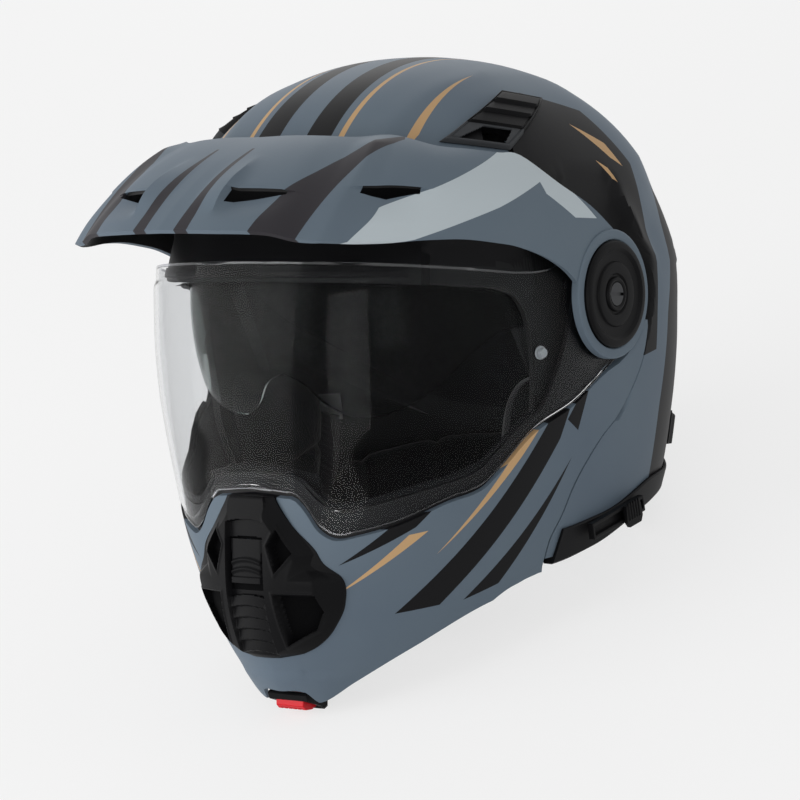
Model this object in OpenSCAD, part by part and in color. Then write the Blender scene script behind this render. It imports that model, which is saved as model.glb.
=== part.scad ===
// Modular adventure helmet with a peak, a clear shield, a drop-down sun visor and a lifting chin bar.
// Sizes in millimetres. Every form is drawn as worn, about the axis of the side pivots, and then
// tipped back by worn_pitch so that the part stands on its base; +Z is up and the face looks along -Y.

/* [Stand] */
// Angle between the worn attitude and the attitude standing on a table
worn_pitch = 25; // [15:0.1:35]
// Height of the pivot axis over the table
pivot_height = 155.8; // [120:0.1:180]
// Place of the pivot axis along the length
pivot_y = 24.9; // [-60:0.1:60]

/* [Form of the hull] */
// Half width of the hull at the pivots
hull_half_width = 126; // [110:0.5:140]
// Height of the crown over the pivot axis
crown_height = 131; // [110:0.5:150]
// Reach of the brow in front of the pivot axis
brow_reach = 141; // [120:0.5:160]
// Reach of the face (shield line) in front of the pivot axis
face_reach = 157; // [140:0.5:175]
// Reach of the back of the head behind the pivot axis
back_reach = 153; // [130:0.5:165]
// Squareness of the crown seen from the side or front
crown_square = 2.2; // [1.8:0.05:3]
// Squareness of the hull seen from above
plan_square = 2.4; // [1.8:0.05:3]
// Place of the widest part behind the pivot axis
widest_y = 10; // [-10:1:30]
// How far the lip of the brow comes forward of the brow
brow_flare = 8; // [0:0.5:14]

/* [Walls] */
// Thickness of the outer shell
shell_wall = 4; // [3:0.1:6]
// Thickness of the chin bar
chin_wall = 3; // [2:0.1:5]
// Thickness of the clear shield
shield_wall = 2.4; // [1.8:0.1:3]
// Thickness of the peak
peak_wall = 2.6; // [2:0.1:4]
// Thickness of the tinted inner visor
sun_wall = 2; // [1.5:0.1:3]
// Thickness of the impact liner
liner_wall = 28.4; // [15:0.2:40]
// Thickness of the sliding layer inside the impact liner
slip_wall = 0.8; // [0.5:0.1:2]
// Thickness of the comfort lining
comfort_wall = 7; // [4:0.5:12]

/* [Fits] */
// Gap between two pieces that move past each other
run_gap = 0.8; // [0.3:0.1:2]
// Gap between two pieces that are fixed to each other
joint_gap = 0.4; // [0.3:0.05:1]
// Radial clearance of the pieces that turn on the side hubs
hub_clearance = 0.08; // [0.02:0.01:0.1]

/* [Side pivots] */
// Radius of the side hub
hub_radius = 9; // [6:0.1:14]
// Depth of the pocket for the hinge under the widest part of the hull
pocket_depth = 14; // [10:0.1:20]
// Radius of the round pocket
pocket_radius = 37; // [30:0.5:45]
// Thickness of the hub's base plate
base_plate = 2.6; // [2:0.1:5]
// Thickness of the steel hinge plate of the chin bar
hinge_plate = 1.2; // [0.8:0.1:2]
// Radius of the cover disc
cover_radius = 28.6; // [20:0.1:32]
// Radius of the ring of the peak round the cover disc
ring_radius = 34.6; // [30:0.1:38]

/* [Hidden] */
$fn = 48;
// Face of the pocket from the centre plane; the pieces of the side pivots are stacked outwards from it
pocket_face = hull_half_width - pocket_depth;
arm_face = pocket_face + 8.4;
shield_face = pocket_face + 11.8;
ring_face = pocket_face + 16.6;
// Typed tables are drawn for these reaches and follow the sizes above
side_scale = hull_half_width / 126;
front_scale = brow_reach / 141;
top_scale = crown_height / 131;
BROW = 2;
FACE = 3;
// Rows of the hull below the pivot axis: height, half width, brow reach, face reach, back reach, squareness
FORM = [
    [-225, 66, 100, 107, 112, 1.8],
    [-205, 80, 112, 125, 120, 1.75],
    [-185, 91, 122, 138, 130, 1.8],
    [-160, 100, 132, 147, 138, 1.9],
    [-130, 108.5, 138, 148.5, 146, 2.15],
    [-100, 115, 140, 148, 152, 2.35],
    [-60, 121.5, 141, 154, 154, 2.4],
    [-30, 125, 141, 156.5, 154, 2.4],
    [0, hull_half_width, brow_reach, face_reach, back_reach, plan_square]
];

function seg(tab, x, i = 0) = i >= len(tab) - 2 || x < tab[i + 1][0] ? i : seg(tab, x, i + 1);
function rise(tab, i, k) = i == 0 ? (tab[1][k] - tab[0][k]) / (tab[1][0] - tab[0][0])
    : i == len(tab) - 1 ? (tab[i][k] - tab[i - 1][k]) / (tab[i][0] - tab[i - 1][0])
    : (tab[i + 1][k] - tab[i - 1][k]) / (tab[i + 1][0] - tab[i - 1][0]);
// Smooth curve through the rows of a table
function curve(tab, x, k = 1) = let (
        c = min(max(x, tab[0][0]), tab[len(tab) - 1][0]), i = seg(tab, c), a = tab[i], b = tab[i + 1],
        h = b[0] - a[0], u = (c - a[0]) / h)
    (2 * u * u * u - 3 * u * u + 1) * a[k] + (u * u * u - 2 * u * u + u) * h * rise(tab, i, k)
    + (3 * u * u - 2 * u * u * u) * b[k] + (u * u * u - u * u) * h * rise(tab, i + 1, k);
function mix(a, b, t) = a + (b - a) * t;
function ease(t) = let (u = min(max(t, 0), 1)) u * u * (3 - 2 * u);
function both(h) = concat([for (i = [len(h) - 1 : -1 : 1]) -h[i]], h);

// Running coordinate of a height: millimetres below the axis, share of the crown arc above it
function run_of(z, o = 0) = z <= 0 ? z
    : asin(pow(min(z / (crown_height + o), 1), crown_square / 2)) * crown_height / 90;
// Point of the hull at running coordinate v and angle a from the front, k = BROW or FACE, o outwards
function hull_at(v, a, k, o) = let (
        up = max(v, 0) * 90 / crown_height,
        s = v > 0 ? pow(max(cos(up), 0), 2 / crown_square) : 1,
        z = v > 0 ? (crown_height + o) * pow(sin(up), 2 / crown_square) : v,
        w = (v > 0 ? hull_half_width : curve(FORM, v, 1)) + o,
        f = (v > 0 ? (k == BROW ? brow_reach : face_reach) : curve(FORM, v, k)) + o,
        b = (v > 0 ? back_reach : curve(FORM, v, 4)) + o,
        n = v > 0 ? plan_square : curve(FORM, v, 5),
        sx = sign(sin(a)) * pow(abs(sin(a)), 2 / n), cy = pow(abs(cos(a)), 2 / n))
    [s * w * sx, widest_y + s * (cos(a) > 0 ? -(f + widest_y) * cy : (b - widest_y) * cy), z];
function capped(p, x) = [sign(p[0]) * min(abs(p[0]), x), p[1], p[2]];
// Point of the face at a given x and height, o outwards
function face_at(x, z, o) = let (
        w = curve(FORM, z, 1) + o, f = curve(FORM, z, FACE) + o, n = curve(FORM, z, 5))
    [x, widest_y - (f + widest_y) * pow(1 - pow(min(abs(x) / w, 1), n), 1 / n), z];

// Angle from the front of the seam between the chin bar and the shell, by height
SEAM = [[-145, 75.5], [-130, 77], [-117, 80], [-100, 83], [-81, 87.5], [-57, 93.5], [-30, 98.5], [0,
    99.5],
    [20, 96], [34, 88]];
seam_column = 88;
// The columns near the seam lean with it
function leaned(a, z) = a + (z > 34 ? 0 : sign(a) * (curve(SEAM, z) - seam_column)
    * max(0, 1 - abs(abs(a) - seam_column) / 24));

// Side pocket of the shell: its radius by angle over the forward direction
POCKET = [[-180, 40.5], [-125, 40.5], [-105, 64], [105, 64], [125, 50], [150, 40.5], [180, 40.5]];
// Half width of the shell that the turning pieces leave free, by distance from the pivot axis
SWEEP = [[30, 121.4], [50, 121], [62, 115.6], [70, 113], [80, 109.8], [100, 100.5], [120, 86], [140, 62],
    [150, 44], [155, 20], [170, 20]];
function side_limit(y, z, a) = let (r = norm([y, z]), ph = atan2(z, -y))
    min(pocket_face + 1.6 * max(0, r - curve(POCKET, ph)),
        (abs(a) > seam_column && ph < -60) || r > 145 ? 200 : side_scale * curve(SWEEP, r) + 0.35
            * max(0, ph - 148));
// Inset of the shell under the chin bar, in front of the seam column
function inset(a, z) = abs(a) < seam_column - 0.6 && abs(a) > 40 ? 7 * (1 - ease((z - 16) / 18)) : 0;
function flare(a, z) = brow_flare * (1 - ease((z - 8) / 26)) * (1 - ease((abs(a) - 10) / 40));
function shell_at(v, a, o) = let (
        z = hull_at(v, 0, BROW, o)[2], q = hull_at(v, leaned(a, z), BROW, o + flare(a, z) - inset(a, z)))
    capped([q[0], q[1], z], side_limit(q[1], z, a) + o);

// Faces of a closed skin between two grids; m holds 1 for a kept cell and 0 for an open one
function cell_on(m, i, j, ring) = let (r = len(m), c = len(m[0]), jj = ring ? (j + c) % c : j)
    i < 0 || i >= r || jj < 0 || jj >= c ? 0 : m[i][jj];
function skin_faces(m, ring, pole, n, w) = let (r = len(m), c = len(m[0])) [
    for (i = [0 : r - 1], j = [0 : c - 1]) if (m[i][j] == 1) let (
            k = ring ? (j + 1) % c : j + 1,
            a = i * w + j, b = i * w + k, d = (i + 1) * w + j, e = (i + 1) * w + k)
        each concat(
            pole && i == 0 ? [[0, e, d], [n, d + n, e + n]]
                : [[a, e, d], [a, b, e], [a + n, d + n, e + n], [a + n, e + n, b + n]],
            cell_on(m, i - 1, j, ring) == 1 || (pole && i == 0) ? [] : [[a, b + n, b], [a, a + n, b + n]],
            cell_on(m, i + 1, j, ring) == 1 ? [] : [[d, e, e + n], [d, e + n, d + n]],
            cell_on(m, i, j - 1, ring) == 1 ? [] : [[a, d + n, a + n], [a, d, d + n]],
            cell_on(m, i, j + 1, ring) == 1 ? [] : [[b, e + n, e], [b, b + n, e + n]])];
module skin(top, bottom, m, ring = false, pole = false) {
    w = len(top[0]);
    n = len(top) * w;
    polyhedron(points = concat([for (r = top) each r], [for (r = bottom) each r]),
        faces = skin_faces(m, ring, pole, n, w), convexity = 10);
}
function all_on(r, c) = [for (i = [1 : r]) [for (j = [1 : c]) 1]];
// Bar whose section is the closed line of points in each row of rows
module bar(rows) {
    n = len(rows[0]);
    k = len(rows);
    polyhedron(points = [for (r = rows) each r], faces = concat(
        [for (i = [0 : k - 2], j = [0 : n - 1]) let (a = i * n + j, b = i * n + (j + 1) % n)
            each [[a, b, b + n], [a, b + n, a + n]]],
        [for (j = [1 : n - 2]) [0, j + 1, j]],
        [for (j = [1 : n - 2]) let (q = (k - 1) * n) [q, q + j, q + j + 1]]), convexity = 10);
}
// Rows of points moved along the surface normal by t, for walls of even thickness
function normal_at(g, i, j) = let (
        r = len(g) - 1, c = len(g[0]) - 1,
        u = g[min(i + 1, r)][j] - g[max(i - 1, 0)][j], v = g[i][min(j + 1, c)] - g[i][max(j - 1, 0)],
        n = cross(v, u))
    -n / max(norm(n), 1e-6);
function moved(g, t) = [for (i = [0 : len(g) - 1]) [for (j = [0 : len(g[0]) - 1]) g[i][j] + t
    * normal_at(g, i, j)]];

// From the worn attitude to the attitude standing on a table
module stand() {
    translate([0, pivot_y, pivot_height]) rotate([-worn_pitch, 0, 0]) children();
}
// Left side as drawn, right side mirrored
// Height at which the table meets the worn attitude
function table_z(y) = (y * sin(worn_pitch) - pivot_height) / cos(worn_pitch);
module side(right) {
    if (right) {
        mirror([1, 0, 0]) children();
    } else {
        children();
    }
}
// Disc or tube on the pivot axis of the left side from x0 to x1
module pivot_disc(x0, x1, r, bore = 0) {
    translate([x0, 0, 0]) rotate([0, 90, 0]) difference() {
        cylinder(h = x1 - x0, r = r);
        if (bore > 0) translate([0, 0, -1]) cylinder(h = x1 - x0 + 2, r = bore);
    }
}

// Lower edge of the outer shell: angle from the front, height
SHELL_EDGE = [
    [0, 6], [30, 5], [50, 3], [60, 1], [65, -8], [68, -42], [71, -92], [74, -122], [78, -133],
    [88, -138], [98, -131], [110, -114], [130, -104], [150, -98], [180, -96]
];
SHELL_HALF = [0, 13, 26, 38, 48, 55, 61, 64, 66.5, 69, 72, 75, 78, 81, 84, 86.9, 88.1, 92, 97,
    102, 108, 116, 126, 138, 152, 166, 180];
SHELL_RING = concat([for (i = [len(SHELL_HALF) - 1 : -1 : 1]) -SHELL_HALF[i]],
    [for (i = [0 : len(SHELL_HALF) - 2]) SHELL_HALF[i]]);
shell_rows = 16;
function shell_run(a, t, o) = mix(crown_height, run_of(curve(SHELL_EDGE, abs(a)), o), t);
function shell_grid(o) = [for (i = [0 : shell_rows]) [for (a = SHELL_RING)
    shell_at(shell_run(a, i / shell_rows, o), a, o)]];
// Air passages under the crown vents and the rear vent
function shell_mask() = [for (i = [0 : shell_rows - 1]) [for (j = [0 : len(SHELL_RING) - 1]) let (
        a = (SHELL_RING[j] + SHELL_RING[(j + 1) % len(SHELL_RING)]) / 2)
    (i >= 8 && i <= 9 && abs(a) > 56 && abs(a) < 66) || (i == 6 && abs(a) > 152 && abs(a) < 166) ? 0
        : 1]];
module outer_shell() color("#5f6c7a") stand()
    skin(shell_grid(0), shell_grid(-shell_wall), shell_mask(), ring = true, pole = true);

// Shield: angle from the front, upper edge, lower edge
SHIELD_TOP = [[0, 17], [30, 16], [50, 14], [70, 12], [80, 20], [88, 27.5], [91.5, 25], [94, 18.5],
    [96.1, 10]];
SHIELD_LOW = [[0, -101], [7, -102.5], [10.5, -103.5], [14, -110], [18, -119], [23, -124], [28, -122.5],
    [38, -116.5], [50, -105], [58, -99], [62.5, -90], [71, -70], [81, -56], [88, -39.5], [91.5, -30],
        [94, -21], [96.1, -11]];
SHIELD_HALF = [0, 6, 12.6, 16, 20, 25, 31, 38, 45, 52, 58, 63, 66.9, 70.4, 73.5, 76.7, 80.6, 84.2,
    91.5, 94, 96.1];
shield_rows = 9;
function shield_step(i) = i < shield_rows ? 0.94 * i / (shield_rows - 1) : 1;
// o outwards; tab is the height of the finger tab at the middle of the lower edge
function shield_grid(o, tab) = [for (i = [0 : shield_rows]) [for (a = both(SHIELD_HALF))
    capped(hull_at(mix(run_of(curve(SHIELD_TOP, abs(a))), curve(SHIELD_LOW, abs(a)), shield_step(i)),
        a, FACE,
        o + (i == shield_rows && abs(a) < 3 ? tab : 0)), shield_face - 0.2 + o)]];
function shield_mask() = [for (i = [0 : shield_rows - 1]) [for (j = [0 : 2 * len(SHIELD_HALF) - 3]) let (
        h = both(SHIELD_HALF), a = abs(h[j] + h[j + 1]) / 2) i >= 1 && i <= 3 && a > 84.2 && a < 91.5
            ? 0 : 1]];
module shield() color("#c9cacb", 0.4) stand() {
    skin(shield_grid(0, 3), shield_grid(-shield_wall, 0), shield_mask());
    for (m = [0, 1]) side(m == 1)
        pivot_disc(shield_face - 2.8, shield_face, 26, hub_radius + hub_clearance);
}

// Chin bar: column angle from the front, upper edge, lower edge
CHIN_TOP = [[0, -92], [10, -95], [16, -106], [22, -112], [37, -105], [50, -97], [57.5, -91], [63, -79],
    [68, -67], [72, -56], [74, -20], [76, 12], [79, 26], [82, 32], [84.5, 29], [86.5, 12]];
CHIN_LOW = [[0, -209], [12.4, -209.2], [16.4, -215], [30, -203], [45, -184], [60, -160], [70, -146],
    [78, -141],
    [86.5, -143]];
CHIN_HALF = [0, 6, 12.6, 16, 20, 25, 31, 38, 45, 52, 58, 63, 67, 70, 72.5, 75, 78, 81, 84, 86.5];
chin_ledge = 5;
chin_rows = 14;
// Lower edge of the shield over a leaning column of the chin bar
function under_shield(a, z = -40, n = 3) = n == 0 ? z : under_shield(a, curve(SHIELD_LOW, leaned(a,
    z)), n - 1);
function chin_z(a, i) = let (t = curve(CHIN_TOP, a), b = curve(CHIN_LOW, a), s = min(under_shield(a),
    t - 6))
    i <= chin_ledge ? mix(t, s - 1.9, i / chin_ledge)
        : mix(s - 2.9, b, (i - chin_ledge - 1) / (chin_rows - chin_ledge - 1));
// The chin steps out under the vent
function chin_lip(a, z) = 2.4 * ease((-197 - z) / 5) * (1 - ease((a - 17) / 18));
function chin_at(a, i, o) = let (z = chin_z(abs(a), i), h = i <= chin_ledge ? -run_gap - shield_wall : 0,
        q = hull_at(run_of(z), leaned(a, z), FACE, o + h + chin_lip(abs(a), z)))
    i <= chin_ledge ? capped(q, arm_face + o)
        : capped(q, arm_face + 3.3 + 0.35 * max(0, norm([q[1], q[2]]) - 36) + o);
function chin_grid(o) = [for (i = [0 : chin_rows]) [for (a = both(CHIN_HALF)) chin_at(a, i, o)]];
function chin_mask() = [for (i = [0 : chin_rows - 1]) [for (j = [0 : 2 * len(CHIN_HALF) - 3]) let (
        h = both(CHIN_HALF), a = abs(h[j] + h[j + 1]) / 2)
    (i >= 7 && i <= 11 && a < 14.6) || (i >= 1 && i <= 2 && a > 79 && a < 82.6) ? 0 : 1]];
module chin_bar() color("#5f6c7a") stand()
    skin(chin_grid(0), chin_grid(-chin_wall), chin_mask());

// Peak: stations from the centre to the side, rear edge and front edge
PEAK_REAR = [[0, 0, -141, 81.4], [1, 21, -140, 81.8], [2, 40.5, -136.8, 81.2], [3, 55.5, -130.6, 80.4],
    [4, 70, -118, 81.5], [5, 88.7, -106.5, 76], [6, 99, -91.7, 74.5], [7, 107, -77.4, 73], [8, 111.2,
        -63.6, 72],
    [9, 120.5, -40, 57.5], [10, 125.4, -18, 46.5], [11, 127.4, 2, 34]];
PEAK_FRONT = [[0, 0, -222, 32], [1, 30, -219, 31.5], [2, 60, -207, 29], [3, 84, -189, 27], [4, 100,
    -165, 26],
    [5, 110, -140, 27], [6, 115, -119, 27.5], [7, 119, -97, 26], [8, 122, -80, 24], [9, 125, -60, 19],
    [10, 127, -44, 12.5], [11, 127.6, -31, 4]];
PEAK_BULGE = [[0, 7], [3, 7], [4, 9], [6, 9], [8, 6], [10, 1], [11, 0]];
peak_half = [0, 0.28, 0.46, 0.62, 0.95, 1.6, 2.3, 2.8, 3.2, 3.6, 4.1, 4.6, 5.3, 6, 7, 8, 9, 10, 11];
peak_rows = 10;
// Relief of the top: a long crease from the rear to each corner, two fins beside the centre, and the
// scoops of the four air slots. The stations lean with the crease
function peak_lean(s, t) = let (k = abs(s)) sign(s) * (k < 3.2 ? k * (1 + 0.26 * (0.5 - t)
    * ease(k / 3.2))
    : k + 0.83 * (0.5 - t) * (1 - ease((k - 3.2) / 3)));
function peak_relief(k, t) = 2.6 * max(0, 1 - abs(k - 3.2) / 0.5) * ease(t / 0.15) * (1 - 0.5 * t)
    + 3.4 * max(0, 1 - abs(k - 0.46) / 0.17) * ease((t - 0.2) / 0.25) * ease((1.02 - t) / 0.3)
    - 2 * max(0, 1 - abs(k - 1.6) / 0.9) * ease((t - 0.45) / 0.12) * ease((0.82 - t) / 0.2)
    - 2 * max(0, 1 - abs(k - 5.3) / 1) * ease((t - 0.15) / 0.15) * ease((0.7 - t) / 0.3);
function triple(tab, s) = [side_scale * curve(tab, s, 1), front_scale * curve(tab, s, 2), top_scale
    * curve(tab, s, 3)];
function peak_at(s, t) = let (
        k = abs(peak_lean(s, t)), r = triple(PEAK_REAR, k), f = triple(PEAK_FRONT, k), p = mix(r, f, t),
        d = p - [0, -70, 0], n = d / norm(d),
        q = p + n * (4 * t * (1 - t) * curve(PEAK_BULGE, k) + peak_relief(abs(s), t)))
    [sign(s) * q[0], q[1], q[2]];
function peak_grid() = [for (i = [0 : peak_rows]) [for (s = both(peak_half)) peak_at(s, i / peak_rows)]];
function peak_mask() = [for (i = [0 : peak_rows - 1]) [for (j = [0 : 2 * len(peak_half) - 3]) let (
        h = both(peak_half), s = abs(h[j] + h[j + 1]) / 2)
    (i == 5 && s > 0.95 && s < 2.3) || (i == 2 && s > 4.6 && s < 6) ? 0 : 1]];
module peak() color("#5f6c7a") stand() {
    g = peak_grid();
    difference() {
        union() {
            skin(g, moved(g, -peak_wall), peak_mask());
            for (m = [0, 1]) side(m == 1) pivot_disc(ring_face - 4.4, ring_face, ring_radius);
        }
        for (m = [0, 1]) side(m == 1) {
            translate([ring_face - 2.2, 0, 0]) rotate([0, 90, 0]) cylinder(h = 4, r = cover_radius
                + joint_gap);
            translate([arm_face, 0, 0]) rotate([0, 90, 0]) cylinder(h = 10, r = hub_radius
                + hub_clearance);
        }
    }
}

// The layers inside the shell share one grid, so that they nest: rows down to the waist, then to each edge
LAYER_HALF = [0, 10, 22, 34, 38, 50, 62, 66, 78, 90, 94, 108, 122, 126, 142, 158, 162, 172, 180];
LAYER_RING = concat([for (i = [len(LAYER_HALF) - 1 : -1 : 1]) -LAYER_HALF[i]],
    [for (i = [0 : len(LAYER_HALF) - 2]) LAYER_HALF[i]]);
layer_rows = 11;
waist = 15;
function layer_run(edge, a, i, o) = i <= 8 ? mix(crown_height, waist, i / 8)
    : mix(waist, run_of(curve(edge, abs(a)), o), (i - 8) / (layer_rows - 8));
module layer(top, low) {
    skin(top, low, all_on(layer_rows, len(LAYER_RING)), ring = true, pole = true);
}
function layer_grid(edge, o) = [for (i = [0 : layer_rows]) [for (a = LAYER_RING)
    hull_at(layer_run(edge, a, i, o), a, BROW, o)]];
// Impact liner: lower edge by angle
LINER_EDGE = [[0, 10], [50, 8], [64, 4], [68, -16], [72, -38], [76, -42.4], [80, -42.6], [98, -42.6],
    [102, -42.8], [120, -58], [150, -78], [180, -80]];
// Gap that takes up the flats of the shell and of the liner
liner_gap = 1.5;
// The liner leaves room at the front for the raised sun visor and at the sides for its arms
visor_arm_radius = 74;
function visor_room(q, a) = let (ph = atan2(q[2], -q[1]))
    13 * (1 - ease((ph - 52) / 12)) * (1 - ease((abs(a) - 72) / 12));
function liner_at(v, a, o) = let (
        z = hull_at(v, 0, BROW, o)[2], t = leaned(a, z), q = hull_at(v, t, BROW, o - inset(a, z)),
        room = visor_room(q, a), p = hull_at(v, t, BROW, o - inset(a, z) - room), h = hull_at(v, 0,
            BROW, o - room)[2],
        r = norm([p[1], h]))
    capped([p[0], p[1], h], min(side_limit(p[1], z, a) - shell_wall - liner_gap,
        pocket_face - shell_wall - 4.6 + 1.6 * max(0, r - visor_arm_radius)));
module impact_liner() color("#26282b") stand() {
    o = -shell_wall - liner_gap;
    layer([for (i = [0 : layer_rows]) [for (a = LAYER_RING) liner_at(layer_run(LINER_EDGE, a, i, o), a,
        o)]],
        layer_grid(LINER_EDGE, o - liner_wall));
}
// Low-friction layer between the impact liner and the lining
SLIP_EDGE = [[0, 24], [60, 20], [90, 8], [130, -24], [180, -34]];
slip_gap = 0.9;
slip_face = -shell_wall - liner_gap - liner_wall - slip_gap;
module slip_layer() color("#d9c64a") stand()
    layer(layer_grid(SLIP_EDGE, slip_face), layer_grid(SLIP_EDGE, slip_face - slip_wall));
// Quilted lining: panels stand inwards, channels between them are drawn back
LINING_EDGE = [[0, 15], [60, 8], [76, -8], [100, -30], [140, -60], [180, -68]];
LINING_FALL = [0.2, 1, 1, 0.2, 0.2, 1, 0.9, 0.2, 0.9, 0.9, 0.2, 1, 0.9, 0.2, 1, 1, 0.2, 0.9, 1];
function lining_depth(i, j) = let (n = len(LAYER_HALF) - 1, h = j < n ? n - j : j - n)
    i == 0 || i == layer_rows ? 2.6 : i == 4 ? 3.6 : 2.6 + (comfort_wall - 2.6) * LINING_FALL[h];
module comfort_liner() color("#1d1e20") stand() {
    o = slip_face - slip_wall - slip_gap;
    layer(layer_grid(LINING_EDGE, o), [for (i = [0 : layer_rows]) [for (j = [0 : len(LAYER_RING) - 1])
        hull_at(layer_run(LINING_EDGE, LAYER_RING[j], i, o), LAYER_RING[j], BROW, o - lining_depth(i,
            j))]]);
}
// Cheek pad: crowned cushion between the shell and the cheek
function cushion(s, t) = (1 - pow(abs(2 * s - 1), 4)) * (1 - pow(abs(2 * t - 1), 4));
function cheek_at(t, s, o) = hull_at(mix(-43.5, -127, t), mix(67 + 4 * t, 99 - 9 * t, s), BROW, o);
function cheek_back(t, s) = let (q = cheek_at(t, s, -20.8)) capped(q, side_limit(q[1], q[2],
    0) - shell_wall - 3.6);
module cheek_pad(right) color("#1f2022") stand() side(right) {
    nu = 12;
    nv = 9;
    groove = 5;
    skin([for (i = [0 : nv]) [for (j = [0 : nu]) cheek_back(i / nv, j / nu)]],
        [for (i = [0 : nv]) [for (j = [0 : nu]) capped(cheek_at(i / nv, j / nu, -26 - 17
            * cushion(j / nu, i / nv)
            + (i == groove && j > 0 && j < nu ? 3 : 0)), cheek_back(i / nv, j / nu)[0] - 5)]],
        all_on(nv, nu));
}
module cheek_pad_left() cheek_pad(false);
module cheek_pad_right() cheek_pad(true);
// Padded roll round the back of the neck
module neck_roll() color("#1f2022") stand() {
    rows = [for (k = [0 : 22]) let (a = mix(114, 246, k / 22), zc = curve(SHELL_EDGE, min(a, 360 - a))
        + 8,
            g = k % 4 == 2 ? 0.86 : 1, e = k == 0 || k == 22 ? 0.55 : g)
        [for (u = [315 : -45 : 0]) hull_at(zc + 6.2 * e * sin(u), a, BROW, -13.5 - 8.2 * e * cos(u))]];
    bar(rows);
}
// Rubber trim clipped over the lower edge of the shell
function trim_row(a, lip) = [for (p = [[2.2, -4], [2.2, lip], [0.4, lip], [0.4, -0.5], [-4.5, -0.5],
    [-4.5, 5], [-6, 5], [-6, -4]])
    let (e = curve(SHELL_EDGE, abs(a)), q = hull_at(e + p[1], leaned(a, e + p[1]), BROW, p[0])) q];
TRIM_HALF = [89.4, 92, 97, 102, 108, 116, 126, 138, 152, 166, 180];
function trim_path() = concat([for (a = TRIM_HALF) a], [for (i = [len(TRIM_HALF) - 2 : -1
    : 0]) 360 - TRIM_HALF[i]]);
function wrap(a) = a > 180 ? a - 360 : a;
module edge_trim() color("#141416") stand() {
    rows = [for (a = trim_path()) trim_row(wrap(a), 8 + 7 * (1 - ease((min(a, 360 - a) - 100) / 30)))];
    n = 8;
    k = len(rows);
    q = (k - 1) * n;
    cap = [[0, 1, 2], [0, 2, 3], [0, 3, 4], [0, 4, 7], [4, 5, 6], [4, 6, 7]];
    polyhedron(points = [for (r = rows) each r], faces = concat(
        [for (i = [0 : k - 2], j = [0 : n - 1]) let (a = i * n + j, b = i * n + (j + 1) % n)
            each [[a, b, b + n], [a, b + n, a + n]]],
        [for (t = cap) [t[0], t[2], t[1]]], [for (t = cap) [q + t[0], q + t[1], q + t[2]]]),
            convexity = 10);
}
// Seals of the eyeport: one on the brow of the shell, one on the edge of the chin bar
module brow_seal() color("#101012") stand()
    bar([for (a = both([0, 6.5, 13, 19.5, 26, 31, 35])) let (h = 1 - 0.8 * ease((abs(a) - 20) / 15))
        [for (p = [[0, 8], [2.6, 9], [2.6, 11], [1.2, 14], [0, 14]]) shell_at(run_of(p[1]), a, 0.8 + h
            * p[0])]]);
module chin_seal() color("#101012") stand()
    bar([for (a = both([0, 6, 12.6, 16, 20, 25, 31, 38, 45, 52, 58, 63, 67,
        70])) let (z = curve(CHIN_TOP, abs(a)))
        [for (p = [[-6, 0.4], [-3.4, 0.4], [-3, 3], [-4.2, 4.4], [-6, 3]])
            capped(hull_at(z + p[1], leaned(a, z), FACE, p[0]), arm_face)]]);
// Tinted inner visor, a surface of revolution about the pivot axis: x, radius, lower angle, upper angle
SUN = [[0, 0, 129, -19, 8], [1, 12, 128.6, -21.5, 8], [2, 22, 127.3, -27, 8], [3, 34, 124.4, -31, 8],
    [4, 46, 121, -32, 8], [5, 58, 117, -31.5, 8], [6, 69, 111, -30, 8], [7, 79, 103, -27.5, 8],
    [8, 87, 92.4, -24, 8], [9, 94, 81.4, -20, 9], [10, 99.6, 69, -17, 11], [11, 104.4, 56, -18, 15],
    [12, 106, 44, -22, 20], [13, 106.2, 32, -30, 26], [14, 106.2, 20, -40, 34], [15, 106.2, 7, -60, 40]];
function sun_grid(o) = [for (i = [0 : 5]) [for (s = both([for (k = [0 : 15]) k])) let (
        r = SUN[abs(s)], ph = mix(r[4], r[3], i / 5), d = min(abs(s), 15) / 15,
        rr = front_scale * r[2] + o * (1 - ease((d - 0.55) / 0.25)),
        x = r[1] * (pocket_face - 5.8) / 106.2 + o * ease((d - 0.45) / 0.3))
    [sign(s) * x, -rr * cos(ph), rr * sin(ph)]]];
module sun_visor() color("#4a5052", 0.6) stand() {
    skin(sun_grid(0), sun_grid(-sun_wall), all_on(5, 30));
    for (m = [0, 1]) side(m == 1) pivot_disc(pocket_face - 7.9, pocket_face - 5.7, 10, 3.08);
}
module sun_visor_pins() color("#c8c8c8") stand() for (m = [0, 1]) side(m == 1) {
    pivot_disc(pocket_face - 8.1, pocket_face - 4.3, 3);
    pivot_disc(pocket_face - 5.3, pocket_face - 4.3, 6);
}
// Pull cable of the sun visor, in its sleeve from the lever to the left pin
function tube_row(p, q, r) = let (d = (q - p) / norm(q - p), u = cross(d, [1, 0, 0]) / norm(cross(d,
    [1, 0, 0])),
        w = cross(d, u)) [for (t = [315 : -45 : 0]) p + r * (cos(t) * u + sin(t) * w)];
CABLE = [for (p = [[7.1, 12, -12], [7.1, 13, -26], [7.1, 12, -44], [6.8, 11, -70], [9, 15, -98], [10.5,
    24, -112]])
    [pocket_face - p[0], p[1], p[2]]];
module sun_visor_cable() color("#202022") stand()
    bar([for (i = [0 : len(CABLE) - 1]) tube_row(CABLE[i], i < len(CABLE) - 1 ? CABLE[i + 1]
        : CABLE[i] * 2 - CABLE[i - 1], 1)]);

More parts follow.
